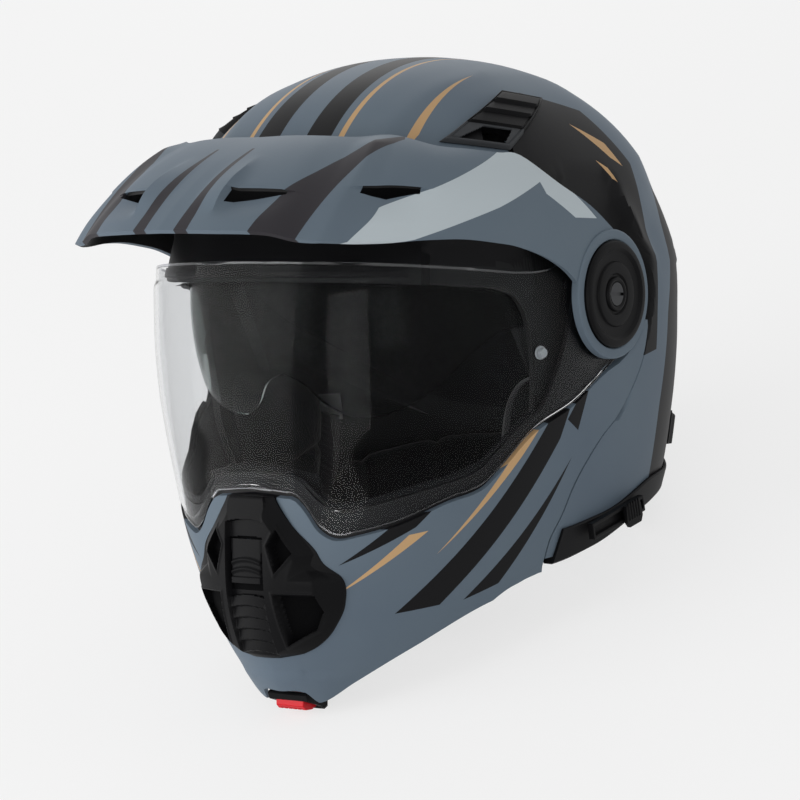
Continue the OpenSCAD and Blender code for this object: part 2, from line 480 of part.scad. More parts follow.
// Side hub: base plate in the pocket of the shell and the journal that the chin bar, shield and peak turn on
module pivot_hub(right) color("#2a2b2e") stand() side(right) {
    difference() {
        union() {
            pivot_disc(pocket_face + joint_gap, pocket_face + joint_gap + base_plate, pocket_radius - 11);
            pivot_disc(pocket_face + 1, pocket_face + 14.2, hub_radius);
        }
        translate([pocket_face - 1, 0, 0]) rotate([0, 90, 0]) cylinder(h = 20, r = 3.2);
        for (t = [45, 135, 225, 315]) translate([pocket_face - 1, 20 * cos(t), 20 * sin(t)])
            rotate([0, 90, 0]) cylinder(h = 6, r = 2.1);
    }
}
module pivot_hub_left() pivot_hub(false);
module pivot_hub_right() pivot_hub(true);
// Steel plate that carries the chin bar on the hub, with two rivets through its lower end
RIVETS = [[32.6, -4.4], [32.6, 4.4]];
module chin_hinge(right) color("#8b8f94") stand() side(right) {
    x0 = pocket_face + joint_gap + base_plate + joint_gap;
    translate([x0, 0, 0]) rotate([90, 0, 90]) linear_extrude(hinge_plate) difference() {
        union() {
            circle(r = 20);
            rotate(-88) translate([0, -10.4]) square([28, 20.8]);
            rotate(-88) translate([28, 0]) circle(r = 10.4);
        }
        circle(r = hub_radius + hub_clearance);
        for (p = RIVETS) rotate(-88) translate(p) circle(r = 1.6);
    }
}
module chin_hinge_left() chin_hinge(false);
module chin_hinge_right() chin_hinge(true);
module hinge_rivets() color("#b8bcc0") stand() for (m = [0, 1]) side(m == 1)
    for (p = RIVETS) rotate([-88, 0, 0]) translate([0, p[0], p[1]]) {
        pivot_disc(pocket_face + 1.7, pocket_face + 3.3, 2.8);
        pivot_disc(pocket_face + 3, pocket_face + 4.8, 1.5);
    }
// Cover disc with a dished face, and the slotted screw that holds it
module pivot_cover(right) color("#161618") stand() side(right)
    translate([pocket_face + 14.8, 0, 0]) rotate([0, 90, 0]) difference() {
        rotate_extrude($fn = 72) polygon([[0, 0], [cover_radius, 0], [cover_radius, 2.4],
            [cover_radius - 1.6, 4.2],
            [cover_radius - 5, 4.2], [cover_radius - 7, 2.6], [7.5, 2.2], [0, 2.2]]);
        translate([0, 0, -1]) cylinder(h = 8, r = 3.2);
        translate([0, 0, 1]) cylinder(h = 8, r = 6.4);
        // Two grip grooves across the dished face
        for (g = [[8, 12], [-15, 14]]) rotate(38) translate([g[0], -g[1], 1.7]) cube([1.2, 2 * g[1], 3]);
    }
module pivot_cover_left() pivot_cover(false);
module pivot_cover_right() pivot_cover(true);
module pivot_screws() color("#2b2c2e") stand() for (m = [0, 1]) side(m == 1) difference() {
    union() {
        pivot_disc(pocket_face + 2, pocket_face + 16, 2.9);
        pivot_disc(pocket_face + 15.9, pocket_face + 18.4, 6.2);
    }
    translate([pocket_face + 17.2, -7, -0.8]) cube([3, 14, 1.6]);
}

// Expanded foam in the chin bar
CHIN_FOAM_TOP = [[0, -130], [24, -131], [40, -124], [60, -108]];
function chin_foam_at(t, a, o) = let (z = mix(curve(CHIN_FOAM_TOP, abs(a)), curve(CHIN_LOW, abs(a))
    + 9, t))
    hull_at(z, leaned(a, z), FACE, o);
module chin_liner() color("#26282b") stand() {
    cols = both([0, 6, 12.6, 16, 25, 34, 43, 52, 60]);
    skin([for (i = [0 : 5]) [for (a = cols) chin_foam_at(i / 5, a, -chin_wall - 0.8)]],
        [for (i = [0 : 5]) [for (a = cols) chin_foam_at(i / 5, a, -20 + (i == 0 || i == 5 ? 4 : 0))]],
        [for (i = [0 : 4]) [for (j = [0 : len(cols) - 2]) i < 4 && i > 0 && abs(j - 7.5) < 1 ? 0 : 1]]);
}
// Breath guard on the upper edge of the chin bar
module breath_guard() color("#18181a") stand()
    skin([for (i = [0 : 3]) [for (x = [-36 : 8 : 36]) face_at(x, mix(-86, -108, i / 3) - abs(x) / 5,
        -6.8 - i * 0.4)]],
        [for (i = [0 : 3]) [for (x = [-36 : 8 : 36]) face_at(x, mix(-86, -108, i / 3) - abs(x) / 5,
            -8.8 - i * 0.4)]],
        [for (i = [0 : 2]) [for (j = [0 : 8]) i == 1 && j % 2 == 1 ? 0 : 1]]);
// Cloth curtain under the chin
function curtain_at(t, a, d) = hull_at(curve(CHIN_LOW, abs(a)) + 5.2 + 2.4 * t + d, a, FACE,
    -3.6 - 34 * t * (1 - 0.4 * abs(a) / 52));
module chin_curtain() color("#1a1a1c") stand() {
    cols = both([0, 6, 12.6, 16, 25, 34, 43, 52]);
    skin([for (i = [0 : 4]) [for (a = cols) curtain_at(i / 4, a, 0)]],
        [for (i = [0 : 4]) [for (a = cols) curtain_at(i / 4, a, 1.4)]],
        all_on(4, len(cols) - 1));
}

// Chin vent: half width by height
VENT_HALF = [[-190, 9], [-187, 22], [-180, 33], [-170, 41], [-160, 46], [-147, 47.5], [-139, 40],
    [-131, 36],
    [-120, 26], [-110, 18.5], [-104, 15]];
VENT_Z = [-104.6, -110, -116, -122, -130, -138, -146, -152.5, -157, -160, -164, -167, -171, -174, -178,
    -181, -185, -190];
VENT_F = [0, 0.28, 0.34, 0.5, 0.62, 0.82, 0.94, 1];
VENT_RISE = [1.6, 1.6, 5.6, 6, 5.6, 4.6, 3, 0.8];
channel_half = 12.4;
function vent_x(f, z) = let (w = curve(VENT_HALF, z), k = abs(f)) sign(f) * (k <= 0.28 ? channel_half
    * k / 0.28
    : mix(min(channel_half, 0.72 * w), w, (k - 0.28) / 0.72));
function vent_rise(i, j) = let (z = VENT_Z[i], base = VENT_RISE[j], e = i == 0 || i == len(VENT_Z) - 1
    ? 0.35 : 1)
    j <= 1 && z < -156 ? (i % 2 == 0 ? 3.4 : 4.8) : base * e + (j == 2 && z < -150 && z > -156 ? 1 : 0);
module chin_vent_housing() color("#161618") stand() {
    n = len(VENT_F) - 1;
    js = [for (k = [-n : n]) k];
    top = [for (i = [0 : len(VENT_Z) - 1]) [for (k = js)
        face_at(vent_x(sign(k) * VENT_F[abs(k)], VENT_Z[i]), VENT_Z[i], 0.6 + vent_rise(i, abs(k)))]];
    low = [for (i = [0 : len(VENT_Z) - 1]) [for (k = js)
        face_at(vent_x(sign(k) * VENT_F[abs(k)], VENT_Z[i]), VENT_Z[i], 0.6)]];
    m = [for (i = [0 : len(VENT_Z) - 2]) [for (c = [0 : 2 * n - 1]) let (k = c < n ? n - 1 - c : c - n,
        z = VENT_Z[i])
        (k == 2 || k == 3) && z <= -122 && z > -145 ? 0
        : (k == 3 || k == 4) && z <= -160 && z > -180 ? 0
        : k == 0 && z <= -130 && z > -145 ? 0 : 1]];
    skin(top, low, m);
}
// Ribbed slider that opens and shuts the middle of the chin vent
module chin_vent_slider() color("#1a1a1c") stand() {
    zs = [for (i = [0 : 10]) mix(-127, -150, i / 10)];
    xs = [-11, -7, 0, 7, 11];
    skin([for (i = [0 : 10]) [for (x = xs) face_at(x, zs[i], (i % 2 == 0 ? 3.9 : 5.2) - (i == 0 ? 0.8
        : 0))]],
        [for (i = [0 : 10]) [for (x = xs) face_at(x, zs[i], 2.6)]], all_on(10, 4));
}
// Mesh behind the chin vent
function mesh_at(i, a, o) = hull_at(mix(chin_z(abs(a), 7) - 1.6, chin_z(abs(a), 12) + 1.6, i / 8), a,
    FACE, o);
module chin_vent_mesh() color("#0e0e10") stand() {
    cols = [for (j = [-4 : 4]) j * 3.75];
    skin([for (i = [0 : 8]) [for (a = cols) mesh_at(i, a, -0.2)]], [for (i = [0
        : 8]) [for (a = cols) mesh_at(i, a, -1.6)]],
        [for (i = [0 : 7]) [for (j = [0 : 7]) i % 2 == 1 && j % 2 == 1 ? 0 : 1]]);
}

// Local frame on the hull: x to the rear, y up the surface, z outwards
function unit(v) = v / norm(v);
module on_hull(v, a, k, o = 0) {
    p = hull_at(v, a, k, o);
    s = hull_at(v, a + 1, k, o) - hull_at(v, a - 1, k, o);
    w = hull_at(v + 1, a, k, o) - hull_at(v - 1, a, k, o);
    n = unit(cross(s, w));
    y = unit(w - (w * n) * n);
    x = cross(y, n);
    multmatrix([[x[0], y[0], n[0], p[0]], [x[1], y[1], n[1], p[1]], [x[2], y[2], n[2], p[2]]]) children();
}

// Chin bar latch: striker on the shell, hook and its pin on the chin bar, on both sides
latch_z = -119;
latch_a = 76.3;
module latch_striker(right) color("#b0b4b8") stand() side(right) on_hull(latch_z, latch_a, FACE)
    translate([9, 0, -7.1]) cylinder(h = 3.4, r = 2.2);
module latch_striker_left() latch_striker(false);
module latch_striker_right() latch_striker(true);
module latch_hook(right) color("#9a9ea3") stand() side(right) on_hull(latch_z, latch_a, FACE)
    translate([0, 0, -5.9]) linear_extrude(1.5) difference() {
        union() {
            translate([-11, -5]) circle(r = 4.6);
            polygon([[-15, -3], [-11, -9.4], [-5, -6], [4, 3.2], [6.4, 2.8], [13, 4.4], [12, 8.6], [-2,
                8.6]]);
        }
        translate([-11, -5]) circle(r = 2.08);
        translate([9, 0]) circle(r = 2.9);
    }
module latch_hook_left() latch_hook(false);
module latch_hook_right() latch_hook(true);
module latch_pins() color("#b0b4b8") stand() for (m = [0, 1]) side(m == 1) on_hull(latch_z, latch_a, FACE)
    translate([-11, -5, 0]) {
        translate([0, 0, -6.6]) cylinder(h = 2.9, r = 2);
        translate([0, 0, -6.8]) cylinder(h = 0.6, r = 3.4);
    }
// Cables from the release button to the hooks
function pull_at(a, d) = hull_at(curve(CHIN_LOW, a) + d, leaned(a, -140), FACE, -5.4);
PULL = [pull_at(12.4, 2.9), pull_at(16.4, 2.9), pull_at(22, 3.2), pull_at(32, 3.4), pull_at(42, 3.4),
    pull_at(52, 3.4), pull_at(62, 4),
    pull_at(69, 7), pull_at(73, 14)];
module release_cable(right) color("#303236") stand() side(right)
    bar([for (i = [0 : len(PULL) - 1]) tube_row(PULL[i], i < len(PULL) - 1 ? PULL[i + 1]
        : PULL[i] * 2 - PULL[i - 1], 0.9)]);
module release_cable_left() release_cable(false);
module release_cable_right() release_cable(true);

// Release button in its frame under the chin
button_half = 9.2;
module button_housing() color("#141416") stand() difference() {
    translate([-13, 0, 0]) rotate([90, 0, 90]) linear_extrude(26)
        polygon([[-117.5, -209.8], [-118.5, -211.5], [-117, -214.4], [-104, -218], [-102.4,
            table_z(-102.4)],
            [-99.6, table_z(-99.6)], [-99.6, -211], [-101, -209.8]]);
    translate([-button_half - 0.3, -116.3, -224]) cube([2 * button_half + 0.6, 13.6, 18]);
}
module release_button() color("#e2001a") stand() difference() {
    translate([-button_half, 0, 0]) rotate([90, 0, 90]) linear_extrude(2 * button_half)
        polygon([[-116, -210], [-116, -217.4], [-113.6, -219.6], [-108, -219.6], [-103, -217.4], [-103,
            -210]]);
    for (x = [-6 : 3 : 6]) translate([x - 0.4, -118, -221]) cube([0.8, 16, 2.4]);
}
module button_spring() color("#b8bcc0") stand() translate([0, -109.5, -209.6]) difference() {
    cylinder(h = 4.4, r = 3.4);
    translate([0, 0, -1]) cylinder(h = 7, r = 2.6);
}

// Crown vents: frame, roof with ribs, and a shutter that slides under the roof
CROWN = [[46, 51.4], [64, 47.5], [68, 75.4], [84, 72]];
function crown_at(p, q, o) = let (c = mix(mix(CROWN[0], CROWN[1], p), mix(CROWN[2], CROWN[3], p), q))
    shell_at(c[1], c[0], o);
CROWN_P = [0, 0.1, 0.2, 0.5, 0.8, 0.9, 1];
CROWN_Q = [0, 0.07, 0.3, 0.38, 0.44, 0.52, 0.58, 0.66, 0.72, 0.8, 0.92, 1];
function crown_rise(i, j) = i == 0 || i == 11 || j == 0 || j == 6 ? 1.2 : j == 1 || j == 5 ? 4.6
    : i == 1 ? 3.4 : i == 2 || i == 10 ? 4.8 : i % 2 == 0 ? 5 : 4;
module crown_vent(right) color("#161618") stand() side(right)
    skin([for (i = [0 : 11]) [for (j = [6 : -1 : 0]) crown_at(CROWN_P[j], CROWN_Q[i], crown_rise(i, j))]],
        [for (i = [0 : 11]) [for (j = [6 : -1 : 0]) crown_at(CROWN_P[j], CROWN_Q[i],
            i > 0 && i < 11 && j > 1 && j < 5 ? min(3, crown_rise(i, j) - 1) : joint_gap)]],
        [for (i = [0 : 10]) [for (j = [0 : 5]) i == 1 && j > 1 && j < 4 ? 0 : 1]]);
module crown_vent_left() crown_vent(false);
module crown_vent_right() crown_vent(true);
module crown_shutter(right) color("#222326") stand() side(right)
    skin([for (i = [0 : 3]) [for (j = [3 : -1 : 0]) crown_at(mix(0.27, 0.73, j / 3), mix(0.34, 0.6,
        i / 3), i == 0 ? 2.4 : 1.8)]],
        [for (i = [0 : 3]) [for (j = [3 : -1 : 0]) crown_at(mix(0.27, 0.73, j / 3), mix(0.34, 0.6,
            i / 3), 0.7)]],
        all_on(3, 3));
module crown_shutter_left() crown_shutter(false);
module crown_shutter_right() crown_shutter(true);
// Rear vent with its spoiler lip
function rear_rise(i, j) = i == 0 || i == 6 || j == 0 || j == 12 ? 1.2 : i == 1 ? 3.4 : i == 5 ? 7 : 5.4;
module rear_spoiler() color("#141416") stand()
    skin([for (i = [0 : 6]) [for (j = [0 : 12]) let (a = wrap(mix(137, 223, j / 12)))
            shell_at(run_of(mix(84, 14, i / 6) - 6 * sin(180 * j / 12)), a, rear_rise(i, j))]],
        [for (i = [0 : 6]) [for (j = [0 : 12]) let (a = wrap(mix(137, 223, j / 12)))
            shell_at(run_of(mix(84, 14, i / 6) - 6 * sin(180 * j / 12)), a,
                i > 0 && i < 6 && j > 0 && j < 12 ? 2.2 : joint_gap)]],
        [for (i = [0 : 5]) [for (j = [0 : 11]) i == 4 && j % 3 != 0 && j != 11 ? 0 : 1]]);
module neck_trim() color("#18181a") stand()
    skin([for (i = [0 : 4]) [for (j = [0 : 16]) let (a = wrap(mix(132, 228, j / 16)))
            shell_at(mix(-66, -85, i / 4) , a, i == 0 || j == 0 || j == 16 ? 1.2 : j % 2 == 0 ? 4.6
                : 3.2)]],
        [for (i = [0 : 4]) [for (j = [0 : 16]) let (a = wrap(mix(132, 228, j / 16)))
            shell_at(mix(-66, -85, i / 4), a, joint_gap)]], all_on(4, 16));

// Sun visor lever on its rail at the lower left edge
rail_from = [pocket_face + 2.2, -3, -127.2];
rail_to = [pocket_face + 2.2, 48, -114];
rail_tilt = atan2(rail_to[2] - rail_from[2], rail_to[1] - rail_from[1]);
rail_length = norm(rail_to - rail_from);
module on_rail(d) {
    translate(rail_from) rotate([rail_tilt, 0, 0]) translate([0, d, 0]) children();
}
module lever_rail() color("#101012") stand() on_rail(0) difference() {
    translate([0, 0, -4.5]) cube([3.6, rail_length, 9]);
    translate([1.2, 1.5, -2.6]) cube([3, rail_length - 3, 5.2]);
}
module sun_visor_lever() color("#1c1c1e") stand() on_rail(38) {
    translate([1.6, -5, -2.3]) cube([2.6, 10, 4.6]);
    translate([4, 0, 0]) rotate([0, 90, 0]) linear_extrude(2)
        polygon([[-4.6, -7], [4.6, -8], [7.6, -6], [7.6, 6], [4.6, 8], [-4.6, 7]]);
    for (y = [-5 : 2.5 : 5]) translate([5.5, y - 0.5, -4]) cube([1.1, 1, 10]);
}
// Eccentric pins that hold an anti-fog lens inside the shield
module anti_fog_pins() color("#d8dadc") stand() for (m = [0, 1]) side(m == 1) on_hull(-31, 72.5, FACE) {
    translate([0, 0, -5.2]) cylinder(h = 2.4, r = 2.4);
    translate([0, 0, -6]) cylinder(h = 0.9, r = 3.6);
}

// Chin strap with a ratchet buckle
buckle_at = [14, -51, -151];
module at_buckle() {
    translate(buckle_at) rotate([18, 6, 0]) children();
}
function in_buckle(p) = let (x = p[0] * cos(6) + p[2] * sin(6), z = p[2] * cos(6) - p[0] * sin(6))
    buckle_at + [x, p[1] * cos(18) - z * sin(18), p[1] * sin(18) + z * cos(18)];
// The left strap ends under the frame of the buckle, the right one under the tongue
STRAP_END = [[[26, 0, -5.6], [8, 0, -5.8]], [[-62, 0, -3.6], [-34, 0, -3]]];
STRAP = [[hull_at(-70, 106, BROW, -10), [0, 1, 0]], [hull_at(-88, 105, BROW, -10), [0, 1, 0.02]],
    [hull_at(-106, 102, BROW, -11.5), [0, 0.99, 0.1]], [hull_at(-122, 97, BROW, -18), [0, 0.95, 0.3]],
    [[82, 0, -136], [0, 0.9, 0.45]], [[66, -25, -146.5], [0.2, 0.92, 0.4]]];
function strap_point(i, r) = i < 6 ? STRAP[i][0]
    : let (q = in_buckle(STRAP_END[r][i - 6])) [r == 1 ? -q[0] : q[0], q[1], q[2]];
function strap_wide(i) = i < 6 ? STRAP[i][1] : [0, cos(18), sin(18)];
function strap_row(i, r, hw, ht) = let (p = strap_point(i, r),
        d = unit(strap_point(min(i + 1, 7), r) - strap_point(max(i - 1, 0), r)),
        w = unit(strap_wide(i) - (strap_wide(i) * d) * d), n = cross(d, w))
    [p + hw * w - ht * n, p - hw * w - ht * n, p - hw * w + ht * n, p + hw * w + ht * n];
module chin_strap(right) color("#232326") stand() side(right)
    bar([for (i = [0 : 7]) strap_row(i, right ? 1 : 0, i < 6 ? 10 : 9, 0.9)]);
module chin_strap_left() chin_strap(false);
module chin_strap_right() chin_strap(true);
module strap_anchor(right) color("#9a9ea3") stand() side(right) on_hull(-72, 106, BROW) {
    translate([0, 0, -7.4]) linear_extrude(1.4) difference() {
        translate([-12, -3]) square([24, 15]);
        translate([0, 7]) circle(r = 2.6);
    }
    translate([0, 7, -8]) cylinder(h = 3.3, r = 2.4);
}
module strap_anchor_left() strap_anchor(false);
module strap_anchor_right() strap_anchor(true);
// Buckle frame on the end of the left strap, toothed tongue on the right strap, and the red lever
module buckle_frame() color("#8b8f94") stand() at_buckle() difference() {
    translate([-12, -13, -4.5]) cube([27, 26, 9]);
    translate([-14, -10.6, -2.2]) cube([31, 21.2, 4.4]);
    translate([-8.8, -9, 1]) cube([18.8, 18, 5]);
}
module buckle_lever() color("#c8102e") stand() at_buckle() difference() {
    union() {
        translate([-7, -8.4, 2.6]) cube([16, 16.8, 2.4]);
        translate([-7, 8.4, 3.8]) rotate([90, 0, 0]) cylinder(h = 16.8, r = 1.2);
    }
    translate([4, -5, 4.4]) cube([2, 10, 2]);
}
module strap_tongue() color("#e4e6e8") stand() at_buckle() union() {
    translate([-48, -9.6, -1.6]) cube([60, 19.2, 2]);
    for (x = [-10 : 2.5 : 10]) translate([x, 6, 0.4]) rotate([90, 0, 0]) linear_extrude(12)
        polygon([[0, 0], [2, 0], [2, 1]]);
}

outer_shell();
impact_liner();
slip_layer();
comfort_liner();
cheek_pad_left();
cheek_pad_right();
neck_roll();
edge_trim();
neck_trim();
brow_seal();
chin_seal();
rear_spoiler();
crown_vent_left();
crown_vent_right();
crown_shutter_left();
crown_shutter_right();
pivot_hub_left();
pivot_hub_right();
chin_hinge_left();
chin_hinge_right();
hinge_rivets();
pivot_cover_left();
pivot_cover_right();
pivot_screws();
chin_bar();
chin_liner();
breath_guard();
chin_curtain();
chin_vent_housing();
chin_vent_slider();
chin_vent_mesh();
button_housing();
release_button();
button_spring();
release_cable_left();
release_cable_right();
latch_hook_left();
latch_hook_right();
latch_pins();
latch_striker_left();
latch_striker_right();
shield();
anti_fog_pins();
peak();
sun_visor();
sun_visor_pins();
sun_visor_cable();
sun_visor_lever();
lever_rail();
chin_strap_left();
chin_strap_right();
strap_anchor_left();
strap_anchor_right();
buckle_frame();
buckle_lever();
strap_tongue();
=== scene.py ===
"""Modular adventure helmet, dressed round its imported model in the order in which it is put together."""

import math

import bmesh
import bpy
import numpy as np
from mathutils import Matrix, Vector


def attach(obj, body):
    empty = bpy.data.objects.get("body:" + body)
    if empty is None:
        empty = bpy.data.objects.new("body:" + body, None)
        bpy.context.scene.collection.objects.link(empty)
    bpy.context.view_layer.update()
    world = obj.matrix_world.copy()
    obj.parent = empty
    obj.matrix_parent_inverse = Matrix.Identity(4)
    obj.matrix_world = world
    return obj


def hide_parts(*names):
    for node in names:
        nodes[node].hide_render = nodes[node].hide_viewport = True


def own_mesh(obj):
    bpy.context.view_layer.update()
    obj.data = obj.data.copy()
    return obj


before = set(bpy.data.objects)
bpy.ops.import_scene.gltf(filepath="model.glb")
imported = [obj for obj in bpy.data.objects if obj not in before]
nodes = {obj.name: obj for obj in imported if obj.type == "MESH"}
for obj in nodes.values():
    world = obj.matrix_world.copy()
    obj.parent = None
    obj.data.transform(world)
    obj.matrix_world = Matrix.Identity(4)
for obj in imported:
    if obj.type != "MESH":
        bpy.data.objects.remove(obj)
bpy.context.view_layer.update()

# Camera. It stands 1.8 m from the side pivots, level with the helmet as worn, and the whole is tipped
# back with the helmet, which here stands on the rear of its lower edge.
camera = bpy.data.objects.new("camera", bpy.data.cameras.new("camera"))
bpy.context.scene.collection.objects.link(camera)
camera_place = Vector((1.0580, -1.2949, 0.7712))
camera_back = (camera_place - Vector((-0.0084, -0.0055, 0.1050))).normalized()
camera_right = Vector((0, 0.42262, 0.90631)).cross(camera_back).normalized()
camera.matrix_world = Matrix.Translation(camera_place) @ Matrix(
    (camera_right, camera_back.cross(camera_right), camera_back)
).transposed().to_4x4()
camera.data.lens = 145.8
camera.data.sensor_width = 36
camera.data.clip_end = 50
bpy.context.scene.camera = camera


# Studio. A pale table under five large soft boxes; the table takes the shadow, and it and the sky are
# white to the camera, to gloss and through clear pieces.
def linear(code):
    """An sRGB hex colour as a linear colour with alpha."""
    parts = [int(code[i : i + 2], 16) / 255 for i in (1, 3, 5)]
    return [c / 12.92 if c <= 0.04045 else ((c + 0.055) / 1.055) ** 2.4 for c in parts] + [1.0]


def node(tree, kind, inputs=None, to=None, stops=(), **settings):
    """Adds a node; an input takes a value, a socket or a node's first output, and stops colour a ramp."""
    made = tree.nodes.new("ShaderNode" + kind)
    for name, value in settings.items():
        setattr(made, name, value)
    for socket, value in (inputs or {}).items():
        value = value.outputs[0] if isinstance(value, bpy.types.Node) else value
        if isinstance(value, bpy.types.NodeSocket):
            tree.links.new(value, made.inputs[socket])
        else:
            made.inputs[socket].default_value = value
    for element, (position, code) in zip(made.color_ramp.elements if stops else (), stops):
        element.position, element.color = position, linear(code)
    if to:
        tree.links.new(made.outputs[0], to)
    return made


def seen_as_backdrop(tree):
    """1 for rays of sight, of gloss and through clear pieces, else 0."""
    rays = node(tree, "LightPath").outputs
    seen = node(tree, "Math", {0: rays["Is Camera Ray"], 1: rays["Is Glossy Ray"]}, operation="MAXIMUM")
    return node(tree, "Math", {0: seen, 1: rays["Is Transmission Ray"]}, operation="MAXIMUM")


SKY_LIGHT, TABLE_GLOW = 0.42, 0.72
HELMET_MIDDLE = Vector((0, 0, 0.13))
sky = bpy.data.worlds.new("studio")
sky.use_nodes = True
sky_tree = sky.node_tree
sky_tree.nodes.clear()
sky_strength = node(sky_tree, "MapRange", {0: seen_as_backdrop(sky_tree), 3: SKY_LIGHT, 4: 1.0})
sky_light = node(sky_tree, "Background", {"Color": (1, 1, 1, 1), "Strength": sky_strength})
node(sky_tree, "OutputWorld", {"Surface": sky_light})
bpy.context.scene.world = sky
bpy.context.scene.view_settings.view_transform = "Standard"

table_mesh = bpy.data.meshes.new("table")
table_mesh.from_pydata([(-9, -9, 0), (9, -9, 0), (9, 9, 0), (-9, 9, 0)], [], [(0, 1, 2, 3)])
table = bpy.data.objects.new("table", table_mesh)
bpy.context.scene.collection.objects.link(table)
table_paint = bpy.data.materials.new("pale_table_laminate")
table_paint.use_nodes = True
table_tree = table_paint.node_tree
table_tree.nodes.clear()
table_face = node(table_tree, "BsdfDiffuse", {"Color": linear("#EDEDED")})
table_glow = node(table_tree, "Emission", {"Color": (1, 1, 1, 1), "Strength": 1.0})
table_seen = seen_as_backdrop(table_tree)
table_share = node(table_tree, "Math", {0: table_seen, 1: TABLE_GLOW}, operation="MULTIPLY")
table_mix = node(table_tree, "MixShader", {0: table_share, 1: table_face, 2: table_glow})
node(table_tree, "OutputMaterial", {"Surface": table_mix})
table_mesh.materials.append(table_paint)

for lamp_name, lamp_place, lamp_size, lamp_watts in (
    ("key", (-1.35, -1.55, 0.75), 2.0, 31),
    ("front", (0.9, -2.5, 0.7), 1.2, 14),
    ("side", (2.0, 0.5, 1.0), 1.2, 4),
    ("top", (0.1, 0.3, 2.1), 1.5, 2),
    ("rear", (-1.0, 1.8, 1.0), 1.2, 7),
):
    lamp = bpy.data.objects.new(lamp_name, bpy.data.lights.new(lamp_name, "AREA"))
    bpy.context.scene.collection.objects.link(lamp)
    lamp.data.shape = "SQUARE"
    lamp.data.size = lamp_size
    lamp.data.energy = lamp_watts
    lamp.location = lamp_place
    lamp.rotation_euler = (Vector(lamp_place) - HELMET_MIDDLE).to_track_quat("Z", "Y").to_euler()


# Outer shell. A moulded fibre-filled shell 4 mm thick, sanded and painted; the paint is matt and its
# panels are masked and sprayed one over the other. Two shallow ribs stiffen the crown.
# Measures are millimetres about the side pivots, as worn: x to the wearer's left, y back, z up.
SHELL_WALL, CROWN_RIB = 4, 2.2
PIVOT = np.array([0.0, 24.9, 155.8])
TIPPED = math.radians(25)
CROWN_HEIGHT = 131
CROWN_SQUARE = 2.2
WIDEST = 10
BROW, FACE = 2, 3
# Height, half width, reach of the brow, reach of the face, reach of the back, squareness
FORM = np.array(
    [
        [-225, 66, 100, 107, 112, 1.8],
        [-205, 80, 112, 125, 120, 1.75],
        [-185, 91, 122, 138, 130, 1.8],
        [-160, 100, 132, 147, 138, 1.9],
        [-130, 108.5, 138, 148.5, 146, 2.15],
        [-100, 115, 140, 148, 152, 2.35],
        [-60, 121.5, 141, 154, 154, 2.4],
        [-30, 125, 141, 156.5, 154, 2.4],
        [0, 126, 141, 157, 153, 2.4],
    ]
)


def standing(worn):
    """Points in millimetres about the side pivots, as worn, moved to metres as the helmet stands."""
    p = np.asarray(worn, float)
    c, s = math.cos(TIPPED), math.sin(TIPPED)
    tipped = np.stack([p[..., 0], p[..., 1] * c + p[..., 2] * s, p[..., 2] * c - p[..., 1] * s], -1)
    return (tipped + PIVOT) / 1000


def curve(rows, x, k=1):
    """The smooth curve through the rows of a table, at x."""
    t = np.asarray(rows, float)
    x = np.clip(np.asarray(x, float), t[0, 0], t[-1, 0])
    i = np.clip(np.searchsorted(t[:, 0], x, side="right") - 1, 0, len(t) - 2)
    slope = np.empty(len(t))
    slope[1:-1] = (t[2:, k] - t[:-2, k]) / (t[2:, 0] - t[:-2, 0])
    slope[0] = (t[1, k] - t[0, k]) / (t[1, 0] - t[0, 0])
    slope[-1] = (t[-1, k] - t[-2, k]) / (t[-1, 0] - t[-2, 0])
    h = t[i + 1, 0] - t[i, 0]
    u = (x - t[i, 0]) / h
    return (
        (2 * u**3 - 3 * u * u + 1) * t[i, k]
        + (u**3 - 2 * u * u + u) * h * slope[i]
        + (3 * u * u - 2 * u**3) * t[i + 1, k]
        + (u**3 - u * u) * h * slope[i + 1]
    )


def ease(t):
    """A smooth step from 0 at 0 to 1 at 1."""
    u = np.clip(t, 0, 1)
    return u * u * (3 - 2 * u)


def hump(t, middle, width):
    """A smooth hump 1 high over the middle."""
    return np.exp(-(((t - middle) / width) ** 2))


def run_of(z, out=0):
    """Running coordinate of a height: millimetres below the pivots, share of the crown arc above."""
    share = np.clip(np.asarray(z, float) / (CROWN_HEIGHT + out), 0, 1) ** (CROWN_SQUARE / 2)
    return np.where(np.asarray(z) <= 0, z, np.degrees(np.arcsin(share)) * CROWN_HEIGHT / 90)


def hull_at(v, a, kind, out):
    """Point of the helmet's form at running coordinate v and angle a from the front, moved outwards."""
    v, a, out = np.broadcast_arrays(*(np.asarray(q, float) for q in (v, a, out)))
    above = v > 0
    up = np.radians(np.where(above, v, 0) * 90 / CROWN_HEIGHT)
    s = np.where(above, np.clip(np.cos(up), 0, 1) ** (2 / CROWN_SQUARE), 1)
    z = np.where(above, (CROWN_HEIGHT + out) * np.sin(up) ** (2 / CROWN_SQUARE), v)
    width, front, back = (curve(FORM, v, k) + out for k in (1, kind, 4))
    n = curve(FORM, v, 5)
    a = np.radians(a)
    side = np.sign(np.sin(a)) * np.abs(np.sin(a)) ** (2 / n)
    depth = np.abs(np.cos(a)) ** (2 / n)
    y = WIDEST + s * np.where(np.cos(a) > 0, -(front + WIDEST) * depth, (back - WIDEST) * depth)
    return np.stack([s * width * side, y, z], -1)


def capped(p, x):
    """Points held within x of the middle plane."""
    return np.stack([np.sign(p[..., 0]) * np.minimum(np.abs(p[..., 0]), x), p[..., 1], p[..., 2]], -1)


